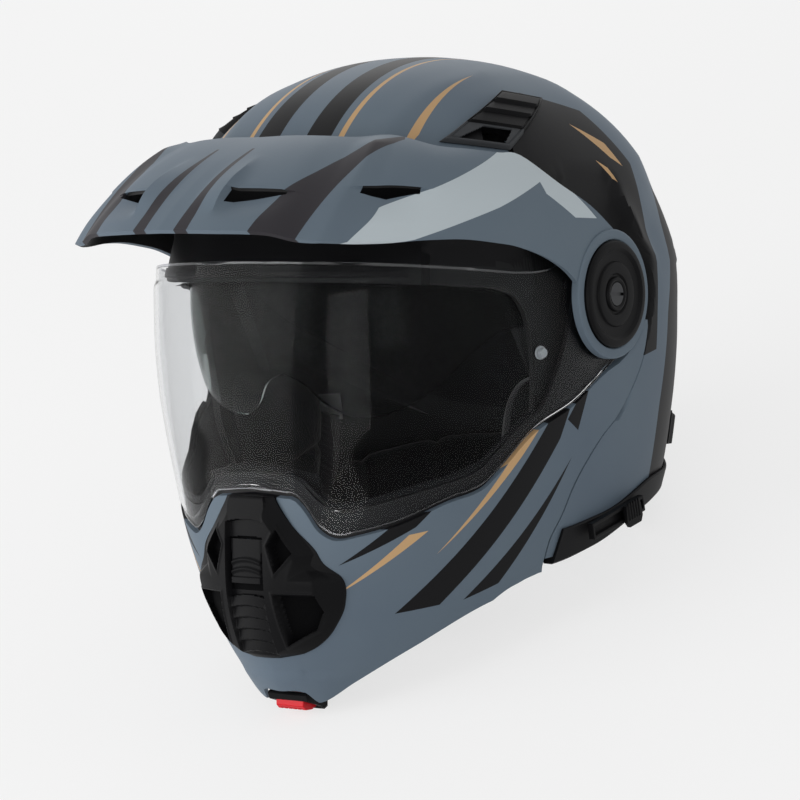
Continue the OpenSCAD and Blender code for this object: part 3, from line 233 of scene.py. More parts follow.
SEAM = [[-145, 75.5], [-130, 77], [-117, 80], [-100, 83], [-81, 87.5], [-57, 93.5], [-30, 98.5], [0, 99.5]]
SEAM += [[20, 96], [34, 88]]
SEAM_COLUMN = 88
POCKET = [[-180, 40.5], [-125, 40.5], [-105, 64], [105, 64], [125, 50], [150, 40.5], [180, 40.5]]
SWEEP = [[30, 121.4], [50, 121], [62, 115.6], [70, 113], [80, 109.8], [100, 100.5], [120, 86], [140, 62]]
SWEEP += [[150, 44], [155, 20], [170, 20]]
POCKET_FACE = 112


def leaned(a, z):
    """Columns near the seam of shell and chin bar lean with it."""
    shift = np.sign(a) * (curve(SEAM, z) - SEAM_COLUMN)
    return a + np.where(z > 34, 0, shift * np.clip(1 - np.abs(np.abs(a) - SEAM_COLUMN) / 24, 0, 1))


def side_limit(y, z, a):
    """Half width that the turning chin bar, shield and peak leave to the shell."""
    r = np.hypot(y, z)
    heading = np.degrees(np.arctan2(z, -y))
    clear = curve(SWEEP, r) + 0.35 * np.maximum(0, heading - 148)
    free = ((np.abs(a) > SEAM_COLUMN) & (heading < -60)) | (r > 145)
    pocket = POCKET_FACE + 1.6 * np.maximum(0, r - curve(POCKET, heading))
    return np.minimum(pocket, np.where(free, 200, clear))


def shell_at(v, a, out, rib=0.0):
    """Point of the shell: flared at the brow, drawn in under the chin bar and at the pivots."""
    v, a, out = np.broadcast_arrays(*(np.asarray(q, float) for q in (v, a, out)))
    z = hull_at(v, 0, BROW, out)[..., 2]
    inner = (np.abs(a) < SEAM_COLUMN - 0.6) & (np.abs(a) > 40)
    inset = np.where(inner, 7 * (1 - ease((z - 16) / 18)), 0)
    flare = 8 * (1 - ease((z - 8) / 26)) * (1 - ease((np.abs(a) - 10) / 40))
    q = hull_at(v, leaned(a, z), BROW, out + flare - inset)
    if rib:
        along = q[..., 1]
        lane = np.abs(q[..., 0]) - (57 - 0.05 * np.abs(along + 20))
        height = rib * hump(lane, 0, 6) * ease((130 - np.abs(along + 4)) / 40)
        q = hull_at(v, leaned(a, z), BROW, out + flare - inset + np.where(z > 30, height, 0))
    return capped(np.stack([q[..., 0], q[..., 1], z], -1), side_limit(q[..., 1], z, a) + out)


def finer(stops, share, keep=()):
    """A list of stops with share times as many steps, apart from the steps that start at keep."""
    out = []
    for start, end in zip(stops, stops[1:]):
        out += [start] if start in keep else list(np.linspace(start, end, share + 1)[:-1])
    return np.array(out + [stops[-1]])


def mirrored(half):
    """Distances from the middle, laid out to both sides."""
    return np.concatenate([-half[:0:-1], half])


def rounded(made, width, angle):
    """Rounds the edges of a piece that are sharper than the angle, by a width in millimetres."""
    edge = made.modifiers.new("rounded_edge", "BEVEL")
    edge.width, edge.segments = width / 1000, 2
    edge.limit_method, edge.angle_limit = "ANGLE", math.radians(angle)
    return edge


def piece(name, points, faces, body, slot, *materials, round_edge=0.0, sharp=32, finishes=None):
    """Makes a mesh piece that rides on a body; edges sharper than the angle stay crisp."""
    mesh = bpy.data.meshes.new(name)
    mesh.from_pydata([tuple(p) for p in points], [], [tuple(f) for f in faces])
    if finishes is not None:
        mesh.polygons.foreach_set("material_index", finishes)
    shape = bmesh.new()
    shape.from_mesh(mesh)
    bmesh.ops.recalc_face_normals(shape, faces=shape.faces[:])
    shape.to_mesh(mesh)
    shape.free()
    made = bpy.data.objects.new(name, mesh)
    bpy.context.scene.collection.objects.link(made)
    mesh.shade_smooth()
    mesh.set_sharp_from_angle(angle=math.radians(sharp))
    for finish in materials:
        mesh.materials.append(finish)
    if round_edge:
        rounded(made, round_edge, 40).harden_normals = True
    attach(made, body)
    return made


def wall_faces(kept, ring, outer, inner):
    """Faces of a closed wall between two grids, and the finish of each, for the cells that are kept."""
    rows, cols = kept.shape
    wide = cols if ring else cols + 1
    back = (rows + 1) * wide
    faces, finishes = [], []

    def there(i, j):
        j = j % cols if ring else j
        return 0 <= i < rows and 0 <= j < cols and kept[i, j]

    for i in range(rows):
        for j in range(cols):
            if not kept[i, j]:
                continue
            k = (j + 1) % wide if ring else j + 1
            a, b, d, e = i * wide + j, i * wide + k, (i + 1) * wide + j, (i + 1) * wide + k
            faces += [(a, b, e, d), (a + back, d + back, e + back, b + back)]
            finishes += [int(outer[i, j]), int(inner[i, j])]
            if not there(i - 1, j):
                faces.append((b, a, a + back, b + back))
            if not there(i + 1, j):
                faces.append((d, e, e + back, d + back))
            if not there(i, j - 1):
                faces.append((a, d, d + back, a + back))
            if not there(i, j + 1):
                faces.append((e, b, b + back, e + back))
            finishes += [int(outer[i, j])] * (len(faces) - len(finishes))
    return faces, finishes


def wall(name, top, low, kept, body, slot, *materials, ring=False, outer=0, inner=0, **look):
    """A wall piece between an outer and an inner grid; kept is True or says which cells are there."""
    points = standing(np.concatenate([top.reshape(-1, 3), low.reshape(-1, 3)]))
    kept = np.ones((top.shape[0] - 1, top.shape[1] - 1 + ring), bool) & kept
    faces, finishes = wall_faces(kept, ring, outer + 0 * kept, inner + 0 * kept)
    used = np.unique([q for f in faces for q in f])
    new = np.full(len(points), -1)
    new[used] = np.arange(len(used))
    faces = [tuple(new[list(f)]) for f in faces]
    return piece(name, points[used], faces, body, slot, *materials, finishes=finishes, **look)


def crown_fan(name, row, height, slot, finish, inside=1):
    """Closes the crown over the first row of a grid, with a fan of faces about one point."""
    count = len(row)
    points = standing(np.concatenate([[[0, WIDEST, height]], row]))
    faces = [(0, 1 + (j + inside) % count, 1 + (j + 1 - inside) % count) for j in range(count)]
    return piece(name, points, faces, "shell_body", slot, finish)


def surface(name, grain=None, **inputs):
    """A material with one Principled shader and, where given, a grain: scale, strength, depth, detail."""
    made = bpy.data.materials.new(name)
    made.use_nodes = True
    tree = made.node_tree
    tree.nodes.clear()
    shader = node(tree, "BsdfPrincipled", {k.replace("_", " "): v for k, v in inputs.items()})
    node(tree, "OutputMaterial", {"Surface": shader})
    place = node(tree, "TexCoord").outputs["Object"]
    if grain:
        scale, strength, depth, detail = (*grain, 2.0)[:4]
        bumps = node(tree, "TexNoise", {"Vector": place, "Scale": scale, "Detail": detail})
        relief = {"Height": bumps, "Strength": strength, "Distance": depth}
        node(tree, "Bump", relief, shader.inputs["Normal"])
    return made, tree, shader, place


def sides_of(corners):
    """Each side of a convex outline as the flat form that is its distance inwards."""
    ends = corners[1:] + corners[:1]
    turn = sum(x0 * y1 - x1 * y0 for (x0, y0), (x1, y1) in zip(corners, ends))
    sides = []
    for (x0, y0), (x1, y1) in zip(corners, ends):
        size = math.copysign(math.hypot(x1 - x0, y1 - y0), turn)
        nx, ny = (y0 - y1) / size, (x1 - x0) / size
        sides.append((nx, ny, -(nx * x0 + ny * y0)))
    return sides


def masked(tree, place, corners):
    """1 inside a convex outline, given by its corners in order, else 0."""
    inside = None
    for side in sides_of(corners):
        edge = node(tree, "VectorMath", {0: place, 1: side}, operation="DOT_PRODUCT").outputs["Value"]
        inside = node(tree, "Math", {0: inside, 1: edge}, operation="MINIMUM") if inside else edge
    return node(tree, "Math", {0: inside, 1: 0.0}, operation="GREATER_THAN")


# Two-pack polyurethane paint with a matt clear coat: an even colour, a broad soft highlight, a faint
# cloudiness from spraying and a very fine orange peel of 2 mm.
PANEL_BLACK, SAND = "#0E0E10", "#C7A378"


def matt_paint(name, panels):
    """A panel is its plane (side: y and z, top: x and y, front: x and z), its corners and its colour."""
    made, tree, shader, place = surface(name, Roughness=0.52, IOR=1.46, Specular_IOR_Level=0.14)
    upright = {"Location": PIVOT / 1000, "Rotation": (-TIPPED, 0, 0), "Scale": (0.001,) * 3}
    worn = node(tree, "Mapping", {"Vector": place, **upright}, vector_type="TEXTURE")
    half = node(tree, "SeparateXYZ", {0: node(tree, "VectorMath", {0: worn}, operation="ABSOLUTE")}).outputs
    real = node(tree, "SeparateXYZ", {0: worn}).outputs
    planes = {"side": (real[1], real[2]), "top": (half[0], real[1]), "front": (half[0], real[2])}
    seen = {k: node(tree, "CombineXYZ", {0: a, 1: b, 2: 1.0}).outputs[0] for k, (a, b) in planes.items()}
    cloud = node(tree, "TexNoise", {"Vector": worn, "Scale": 0.012, "Detail": 3.0, "Roughness": 0.5})
    colour = node(tree, "ValToRGB", {0: cloud}, stops=((0.3, "#606D7A"), (0.7, "#67747F"))).outputs[0]
    for plane, corners, code in panels:
        spray = {0: masked(tree, seen[plane], corners), 6: colour, 7: linear(code)}
        colour = node(tree, "Mix", spray, data_type="RGBA").outputs[2]
    tree.links.new(colour, shader.inputs["Base Color"])
    peel = node(tree, "TexNoise", {"Vector": worn, "Scale": 0.5, "Detail": 2.0})
    node(tree, "Bump", {"Height": peel, "Strength": 0.06, "Distance": 0.0004}, shader.inputs["Normal"])
    return made


shell_paint = matt_paint(
    "matt_polyurethane_paint_on_shell",
    [
        ("side", [(-66, 66), (-14, 108), (30, 100), (50, 72), (53, 40), (53, -30), (34, -34), (-66, -20)],
         PANEL_BLACK),
        # This panel is partly painted shade: it blackens the brow under the peak, and it also makes the
        # shell behind the shield black.
        ("side", [(-175, 46), (-100, 46), (-16, 34), (26, 30), (26, -36), (-20, -60), (-175, -60)],
         PANEL_BLACK),
        # This panel is painted shade: it blackens the shell under the peak.
        ("side", [(-175, 68), (-120, 68), (-98, 45), (-175, 45)], PANEL_BLACK),
        ("side", [(-84, 79.5), (-56, 77), (-8, 101), (-34, 104)], PANEL_BLACK),
        ("side", [(200, -170), (200, 90), (112, 90), (92, 66), (80, 40), (70, -10), (66, -60), (66, -170)],
         PANEL_BLACK),
        ("side", [(-8, 90), (0, 94), (30, 82), (43, 62), (28, 74)], SAND),
        ("side", [(-20, 82), (-16, 84), (20, 68), (33, 50), (20, 63)], SAND),
        ("top", [(9, -132), (25, -128), (20, 40), (13, 70), (9, 40)], PANEL_BLACK),
        ("top", [(29, -128), (32.5, -124), (27, 30)], SAND),
        ("top", [(64, -112), (67, -92), (58, -30)], SAND),
    ],
)
# The inside of the shell is bare moulded composite, satin and dark.
composite_look = {"Base_Color": linear("#0E0F10"), "Roughness": 0.6, "Specular_IOR_Level": 0.2}
bare_composite = surface("bare_moulded_composite", (400.0, 0.2, 0.0005, 3.0), **composite_look)[0]

SHELL_EDGE = [[0, 6], [30, 5], [50, 3], [60, 1], [65, -8], [68, -42], [71, -92], [74, -127], [78, -139]]
SHELL_EDGE += [[88, -140.5], [98, -131], [110, -114], [130, -104], [150, -98], [180, -96]]
SHELL_STOPS = [0, 13, 26, 38, 48, 55, 61, 64, 66.5, 69, 72, 75, 78, 81, 84, 86.9, 88.1, 92, 97]
SHELL_STOPS += [102, 108, 116, 126, 138, 152, 166, 180]
shell_half = finer(SHELL_STOPS, 4, keep=(86.9,))
shell_ring = mirrored(shell_half)[:-1]
shell_rows = np.linspace(0, 1, 65)[1:]


def shell_grid(out, rib=0.0):
    """Points of the shell from the crown down to its lower edge, all the way round."""
    edge = run_of(curve(SHELL_EDGE, np.abs(shell_ring)), out)
    v = CROWN_HEIGHT + shell_rows[:, None] * (edge[None, :] - CROWN_HEIGHT)
    return shell_at(v, shell_ring[None, :] + 0 * v, out, rib)


between = (np.abs(shell_ring + np.roll(shell_ring, -1)) / 2)[None, :]
row_mid = ((shell_rows[1:] + shell_rows[:-1]) / 2)[:, None]
intake = (row_mid > 0.57) & (row_mid < 0.622) & (between > 56) & (between < 65.5)
exhaust = (row_mid > 0.375) & (row_mid < 0.4375) & (between > 152) & (between < 166)
# The wings under the chin bar are left bare black.
wing_edge = run_of(curve(SHELL_EDGE, between))
wing = (CROWN_HEIGHT + row_mid * (wing_edge - CROWN_HEIGHT) < 8) & (between < 87.4)
shell_top, shell_low = shell_grid(0, CROWN_RIB), shell_grid(-SHELL_WALL)
shell = wall(
    "shell_skin", shell_top, shell_low, ~(intake | exhaust), "shell_body", "shell_paint", shell_paint,
    bare_composite, ring=True, sharp=40, outer=wing, inner=1,
)
# The crown is closed by one round cap, outside and inside.
crown_fan("crown_cap", shell_top[0], CROWN_HEIGHT, "shell_paint", shell_paint, inside=0)
crown_fan("crown_cap_inside", shell_low[0], CROWN_HEIGHT - SHELL_WALL, "shell_paint", bare_composite)
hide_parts("outer_shell")


# Impact liner and the liner in the chin bar. Black expanded bead foam, steam moulded to shape, so its
# skin shows the outlines of its 3 mm beads.
def dress(finish, *names, round_edge=0.0):
    """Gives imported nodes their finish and, where asked, finely rounded edges."""
    for name in names:
        for held in nodes[name].material_slots:
            held.material = finish
        if round_edge:
            nodes[name].modifiers.new("joined", "WELD").merge_threshold = 0.00002
            rounded(nodes[name], round_edge, 28)


bead_foam, tree, shader, place = surface("expanded_bead_foam", Roughness=0.85, Specular_IOR_Level=0.3)
beads = node(tree, "TexVoronoi", {"Vector": place, "Scale": 330.0})
node(tree, "ValToRGB", {0: beads}, shader.inputs["Base Color"], ((0, "#17181A"), (1, "#0C0D0E")))
node(tree, "Bump", {"Height": beads, "Strength": 0.25, "Distance": 0.0004}, shader.inputs["Normal"])
dress(bead_foam, "impact_liner", "chin_liner")

# Sliding layer. A thin yellow polycarbonate sheet clipped inside the foam, glossy so that the lining
# slips over it in a glancing blow.
sheet_look = {"Base_Color": linear("#D9C64A"), "Roughness": 0.28}
slip_sheet = surface("thermoformed_polycarbonate_sheet", (90.0, 0.05, 0.0005), **sheet_look)[0]
dress(slip_sheet, "slip_layer")

# Comfort lining, cheek pads and neck roll. Brushed knitted fabric sewn over 6 to 20 mm of soft foam;
# the middle of each panel is an open 3-D mesh. They are held by press studs and lift out for washing.
LINING_EDGE = [[0, 15], [60, 8], [76, -8], [100, -30], [140, -60], [180, -68]]
LAYER_HALF = [0, 10, 22, 34, 38, 50, 62, 66, 78, 90, 94, 108, 122, 126, 142, 158, 162, 172, 180]
LINING_FALL = [0.2, 1, 1, 0.2, 0.2, 1, 0.9, 0.2, 0.9, 0.9, 0.2, 1, 0.9, 0.2, 1, 1, 0.2, 0.9, 1]
LINING_FACE = -36.5
LINING_THIN, LINING_FULL = 2.6, 7.0
WAIST, WAIST_ROW, LAST_ROW = 15, 8, 11


def knitted(name, dark, pale, thread_mm, depth):
    """Knitted fabric: rows of loops at the given spacing, brushed so that it keeps a soft sheen."""
    made, tree, shader, place = surface(name, Roughness=0.95, Sheen_Weight=0.12, Specular_IOR_Level=0.15)
    fluff = node(tree, "TexNoise", {"Vector": place, "Scale": 900.0, "Detail": 2.0})
    loops = node(tree, "TexVoronoi", {"Vector": place, "Scale": 1000.0 / thread_mm, "Randomness": 0.35})
    mixed = node(tree, "Math", {0: loops, 1: fluff}, operation="MULTIPLY")
    node(tree, "ValToRGB", {0: mixed}, shader.inputs["Base Color"], ((0.1, dark), (0.5, pale)))
    node(tree, "Bump", {"Height": loops, "Strength": depth, "Distance": 0.0008}, shader.inputs["Normal"])
    return made


lining_knit = knitted("brushed_polyester_knit", "#0B0B0C", "#151618", 1.4, 0.4)
mesh_knit = knitted("open_mesh_knit", "#070708", "#1B1D20", 3.2, 0.7)

layer_half = finer(LAYER_HALF, 3)
layer_ring = mirrored(layer_half)[:-1]
layer_rows = np.linspace(0, LAST_ROW, 45)[1:]


def layer_run(edge, out):
    """Running coordinates of the lining's rows, from the crown over the waist to the edge."""
    end = run_of(curve(edge, np.abs(layer_ring)), out)[None, :]
    i = layer_rows[:, None]
    upper = CROWN_HEIGHT + (WAIST - CROWN_HEIGHT) * i / WAIST_ROW
    lower = WAIST + (end - WAIST) * (i - WAIST_ROW) / (LAST_ROW - WAIST_ROW)
    return np.where(i <= WAIST_ROW, upper, lower)


lining_v = layer_run(LINING_EDGE, LINING_FACE)
fullness = np.interp(np.abs(layer_ring), LAYER_HALF, LINING_FALL[::-1])
rise = np.minimum(ease(layer_rows), ease(LAST_ROW - layer_rows))
rise = rise * (1 - 0.75 * hump(layer_rows, 4, 0.28))
padding = LINING_THIN + (LINING_FULL - LINING_THIN - 0.3) * rise[:, None] * np.sqrt(fullness[None, :])
lining_top = hull_at(lining_v, layer_ring[None, :], BROW, LINING_FACE)
lining_low = hull_at(lining_v, layer_ring[None, :], BROW, LINING_FACE - padding)
mesh_panel = (fullness > 0.75)[None, :] & (rise > 0.6)[:-1, None]
lining = wall(
    "comfort_lining", lining_top, lining_low, True, "shell_body", "lining", lining_knit, mesh_knit,
    ring=True, sharp=60, inner=mesh_panel,
)
crown_fan("lining_crown", lining_low[0], CROWN_HEIGHT + LINING_FACE - 3.2, "lining", lining_knit)
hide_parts("comfort_liner")

SIDES = (("left", 1), ("right", -1))


def cheek_at(t, s, out):
    """Point of a cheek pad; its outline is drawn in at the corners."""
    pull_t, pull_s = np.abs(2 * s - 1) ** 5, np.abs(2 * t - 1) ** 5
    t, s = 0.5 + (t - 0.5) * (1 - 0.13 * pull_t), 0.5 + (s - 0.5) * (1 - 0.2 * pull_s)
    return hull_at(-43.5 - 83.5 * t, 67 + 4 * t + (32 - 13 * t) * s, BROW, out)


for side_name, side_sign in SIDES:
    t, s = np.meshgrid(np.linspace(0, 1, 41), np.linspace(0, 1, 53), indexing="ij")
    crown = (1 - np.abs(2 * s - 1) ** 4) * (1 - np.abs(2 * t - 1) ** 4)
    seam = 3.2 * hump(t, 0.56 + 0.05 * np.sin(5 * s), 0.022) * ease(s / 0.06) * ease((1 - s) / 0.06)
    edge_seam = 1.6 * hump(np.minimum(np.minimum(s, 1 - s), np.minimum(t, 1 - t)), 0.075, 0.02)
    rear = cheek_at(t, s, -20.8)
    rear = capped(rear, side_limit(rear[..., 1], rear[..., 2], 0) - SHELL_WALL - 3.6)
    front = capped(cheek_at(t, s, -26 - 17 * crown + seam + edge_seam * crown), rear[..., 0] - 5)
    centre = (t[1:, 1:] > 0.12) & (t[1:, 1:] < 0.9) & (s[1:, 1:] > 0.12) & (s[1:, 1:] < 0.9)
    for grid in (rear, front):
        grid[..., 0] *= side_sign
    outer, inner, centre = (grid[:, ::side_sign] for grid in (rear, front, centre))
    pad = wall(
        f"cheek_cushion_{side_name}", outer, inner, True, "shell_body", "lining", lining_knit, mesh_knit,
        sharp=70, inner=centre,
    )
    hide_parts(f"cheek_pad_{side_name}")


def bar(name, sections, body, slot, *materials, **look):
    """A bar whose section is the line of worn points in each row of sections."""
    rows, count = sections.shape[:2]
    faces = []
    for i in range(rows - 1):
        for j in range(count):
            k, row, after = (j + 1) % count, i * count, (i + 1) * count
            faces.append((row + j, row + k, after + k, after + j))
    faces += [tuple(range(count))[::-1], tuple((rows - 1) * count + j for j in range(count))]
    return piece(name, standing(sections.reshape(-1, 3)), faces, body, slot, *materials, **look)


NECK_START = 102
neck_a = np.linspace(NECK_START, 360 - NECK_START, 157)[:, None]
round_u = np.linspace(0, 360, 25)[:-1][None, ::-1]
neck_side = np.minimum(neck_a, 360 - neck_a)
tuck = 1 - 0.16 * hump((neck_a - NECK_START) % 26, 13, 1.6)
tuck = tuck * (0.6 + 0.4 * ease((neck_side - NECK_START) / 8))
neck_top = curve(SHELL_EDGE, neck_side) + 14.2
neck_low = np.interp(neck_side, [102, 128, 140, 150, 160, 180], [-130, -126, -117, -110, -104, -98.5])
neck_z = (neck_top + neck_low) / 2 + (neck_top - neck_low) / 2 * tuck * np.sin(np.radians(round_u))
neck = hull_at(neck_z, neck_a + 0 * round_u, BROW, -13.5 - 8.2 * tuck * np.cos(np.radians(round_u)))
neck_cushion = bar("neck_cushion", neck, "shell_body", "lining", lining_knit, sharp=70)
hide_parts("neck_roll")


# Rubber and soft vinyl trims: the beading clipped over the lower edge of the shell, the ribbed trim at
# the nape and the seals of the eyeport. Extruded or moulded, black, with a dull skin.
rubber_look = {"Base_Color": linear("#0D0D0F"), "Roughness": 0.6, "Specular_IOR_Level": 0.12}
soft_rubber = surface("moulded_soft_rubber", (1200.0, 0.15, 0.0003), **rubber_look)[0]
trim_half = np.linspace(89.4, 180, 90)
trim_a = np.concatenate([trim_half, 360 - trim_half[-2::-1]])
trim_side = np.minimum(trim_a, 360 - trim_a)
trim_lip = 8 + 7 * (1 - ease((trim_side - 100) / 30))
trim_edge = curve(SHELL_EDGE, trim_side)
trim_rows = []
for a, lip, low in zip(np.where(trim_a > 180, trim_a - 360, trim_a), trim_lip, trim_edge):
    profile = [(2.2, -3), (2.2, lip - 1), (1.6, lip), (0.4, lip), (0.4, -0.5), (-4.5, -0.5)]
    profile += [(-4.5, 5), (-6, 5), (-6, -3), (-5, -4), (1.2, -4)]
    trim_rows.append([hull_at(low + h, leaned(a, low + h), BROW, o) for o, h in profile])
trim = bar("lower_beading", np.array(trim_rows), "shell_body", "rubber_trim", soft_rubber, sharp=35)
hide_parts("edge_trim")
NAPE_END = 48
rib_i = np.linspace(0, 4, 33)[:, None]
rib_a = mirrored(np.linspace(0, NAPE_END, 121))[None, :]
rib_rise = 3.2 + 1.3 * np.abs(np.cos(np.radians(rib_a * 15))) ** 0.5
rib_rise = 1.2 + (rib_rise - 1.2) * ease(rib_i / 0.7) * ease((NAPE_END - np.abs(rib_a)) / 4)
nape_v = -66 - 19 * rib_i / 4
nape_trim = wall(
    "nape_trim", *(shell_at(nape_v, 180 + rib_a, out) for out in (rib_rise, 0.4)), True, "shell_body",
    "black_plastic", soft_rubber, sharp=50,
)
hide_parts("neck_trim")
dress(soft_rubber, "brow_seal", "chin_seal", "breath_guard", round_edge=0.4)


# Vents, spoiler, pivot covers and latch frames. Glass-filled nylon and ABS, injection moulded black with
# a fine spark-eroded grain of 0.4 mm that breaks up the highlight; edges catch a thin line of light.
def middles(rows, columns):
    """The middle of each cell of a grid, along its rows and across; the same on both sides."""
    return (rows[1:] + rows[:-1]) / 2, np.abs(columns[:, 1:] + columns[:, :-1]) / 2


grained_nylon, tree, shader, place = surface(
    "grained_moulded_nylon", (1800.0, 0.25, 0.0002), IOR=1.5, Specular_IOR_Level=0.08
)
cloud = node(tree, "TexNoise", {"Vector": place, "Scale": 25.0})
node(tree, "MapRange", {0: cloud, 3: 0.38, 4: 0.52}, shader.inputs["Roughness"])
node(tree, "ValToRGB", {0: cloud}, shader.inputs["Base Color"], ((0, "#09090A"), (1, "#101012")))
# The spoiler bows down at the middle and ends in a lip over its outlets.
TAIL_END = 43
tail_i = np.linspace(0, 6, 97)[:, None]
tail_a = mirrored(np.linspace(0, TAIL_END, 87))[None, :]
tail_v = run_of(84 - 70 * tail_i / 6 - 6 * np.cos(np.radians(tail_a * 90 / TAIL_END)))
tail_border = ease((TAIL_END - np.abs(tail_a)) / 4) * ease(tail_i / 0.5)
tail_rise = np.interp(tail_i, [0, 1, 3.9, 4.1, 4.9, 5.05, 5.5, 6], [3.0, 4.4, 5.6, 5.2, 5.9, 6.9, 6.2, 0.9])
tail_rise = tail_rise - 1.0 * hump(np.abs(tail_a), 19, 1.1) * ease((3.7 - tail_i) / 0.5)
tail_rise = 0.9 + (tail_rise - 0.9) * tail_border
tail_under = np.where(tail_border > 0.98, np.minimum(tail_rise - 1.6, 2.4), 0.4)
tail_row, tail_column = middles(tail_i, tail_a)
outlet = (tail_row > 4.1) & (tail_row < 4.9) & (tail_column < 37) & (np.mod(tail_column + 1.5, 12.5) > 3)
spoiler = wall(
    "rear_spoiler_moulding", *(shell_at(tail_v, 180 + tail_a, out) for out in (tail_rise, tail_under)),
    ~outlet, "shell_body", "black_plastic", grained_nylon, sharp=38,
)
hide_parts("rear_spoiler")
dress(grained_nylon, "crown_shutter_left", "crown_shutter_right", "button_housing", round_edge=0.45)
dress(grained_nylon, "lever_rail", "sun_visor_lever", round_edge=0.45)
dress(grained_nylon, "pivot_hub_left", "pivot_hub_right", "chin_vent_mesh")
dress(soft_rubber, "release_cable_left", "release_cable_right", "sun_visor_cable")

# Hinge plates, rivets, latch parts and strap anchors. Rolled and stamped stainless steel, with the fine
# grain of the sheet; the screws are blackened, the spring is drawn wire.
rolled_steel, tree, shader, place = surface("rolled_stainless_steel", Metallic=1.0)
rolled = node(tree, "Mapping", {"Vector": place, "Scale": (300, 4000, 300)})
lines = node(tree, "TexNoise", {"Vector": rolled, "Scale": 1.0})
node(tree, "MapRange", {0: lines, 3: 0.28, 4: 0.45}, shader.inputs["Roughness"])
node(tree, "ValToRGB", {0: lines}, shader.inputs["Base Color"], ((0, "#A8AAAD"), (1, "#C2C4C6")))
dress(rolled_steel, "chin_hinge_left", "chin_hinge_right", "hinge_rivets", "latch_hook_left")
dress(rolled_steel, "latch_hook_right", "latch_pins", "latch_striker_left", "latch_striker_right")
dress(rolled_steel, "strap_anchor_left", "strap_anchor_right", "button_spring", "buckle_frame")
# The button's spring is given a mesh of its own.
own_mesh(nodes["button_spring"])
black_steel, tree, shader, place = surface("blackened_steel", Base_Color=linear("#3A3B3D"), Metallic=1.0)
wear = node(tree, "TexNoise", {"Vector": place, "Scale": 500.0})
node(tree, "MapRange", {0: wear, 3: 0.25, 4: 0.4}, shader.inputs["Roughness"])
dress(black_steel, "pivot_screws")

# Release button and the lever of the buckle. Red ABS, moulded glossy; the buckle's tongue is of undyed
# nylon, paler and a little see-through at its edges.
red_look = {"Base_Color": linear("#D40018"), "Roughness": 0.35, "Specular_IOR_Level": 0.25}
red_abs = surface("red_moulded_abs", (700.0, 0.08, 0.0002), **red_look)[0]
dress(red_abs, "release_button", "buckle_lever", round_edge=0.5)
nylon_look = {"Base_Color": linear("#DFE0DD"), "Roughness": 0.4, "Subsurface_Weight": 0.1}
natural_nylon = surface("natural_nylon", (600.0, 0.1, 0.0002), **nylon_look)[0]
dress(natural_nylon, "strap_tongue")


# Chin bar. Moulded like the shell and painted with it; its upper edge is stepped back and left bare
# black where the shield closes over it, and it turns on steel plates at the side pivots.
CHIN_TOP = [[0, -92], [10, -95], [16, -106], [22, -112], [37, -105], [50, -97], [57.5, -91], [63, -79]]
CHIN_TOP += [[68, -67], [72, -56], [74, -20], [76, 12], [79, 26], [82, 32], [84.5, 29], [86.5, 12]]
CHIN_LOW = [[0, -209], [12.4, -209.2], [16.4, -215], [30, -203], [45, -185], [60, -165.5], [70, -156.5]]
CHIN_LOW += [[78, -152.2], [86.5, -147.8]]
CHIN_STOPS = [0, 6, 12.6, 16, 20, 25, 31, 38, 45, 52, 58, 63, 67, 70, 72.5, 75, 78, 81, 84, 86.5]
SHIELD_LOW = [[0, -101], [7, -102.5], [10.5, -103.5], [14, -110], [18, -119], [23, -124], [28, -122.5]]
SHIELD_LOW += [[38, -116.5], [50, -105], [58, -99], [62.5, -90], [71, -70], [81, -56], [88, -39.5]]
SHIELD_LOW += [[91.5, -30], [94, -21], [96.1, -11]]
LEDGE, CHIN_FOOT = 5, 14
CHIN_WALL, SHIELD_WALL = 3, 2.4
ARM_SIDE, SKIN_SIDE, SHIELD_SIDE = 120.4, 123.7, 123.6
chin_i = np.concatenate([np.linspace(0, LEDGE, 16), np.linspace(LEDGE + 1, CHIN_FOOT, 41)])[:, None]
chin_a = mirrored(finer(CHIN_STOPS, 4))[None, :]


def chin_grid(out):
    """Points of the chin bar: the ledge under the shield, then the skin down to the lower edge."""
    a = np.abs(chin_a)
    top, low = curve(CHIN_TOP, a), curve(CHIN_LOW, a)
    under = -40 + 0 * a
    for _ in range(3):
        under = curve(SHIELD_LOW, leaned(a, under))
    seat = np.minimum(under, top - 6)
    ledge = top + (seat - 1.9 - top) * chin_i / LEDGE
    skirt = seat - 2.9 + (low - seat + 2.9) * (chin_i - LEDGE - 1) / (CHIN_FOOT - LEDGE - 1)
    z = np.where(chin_i <= LEDGE, ledge, skirt)
    lip = 2.4 * ease((-197 - z) / 5) * (1 - ease((a - 17) / 18))
    back = np.where(chin_i <= LEDGE, -0.8 - SHIELD_WALL, 0)
    rear = np.interp(-z, [4, 16, 60, 150], [0, 1.18, 1.22, 2.06]) * ease((a - 80) / 6.5)
    q = hull_at(run_of(z), leaned(chin_a + np.sign(chin_a) * rear, z), FACE, out + back + lip)
    arm = ARM_SIDE + out
    skin = SKIN_SIDE + 0.35 * np.maximum(0, np.hypot(q[..., 1], q[..., 2]) - 36) + out
    return capped(q, np.where(chin_i <= LEDGE, arm, skin))


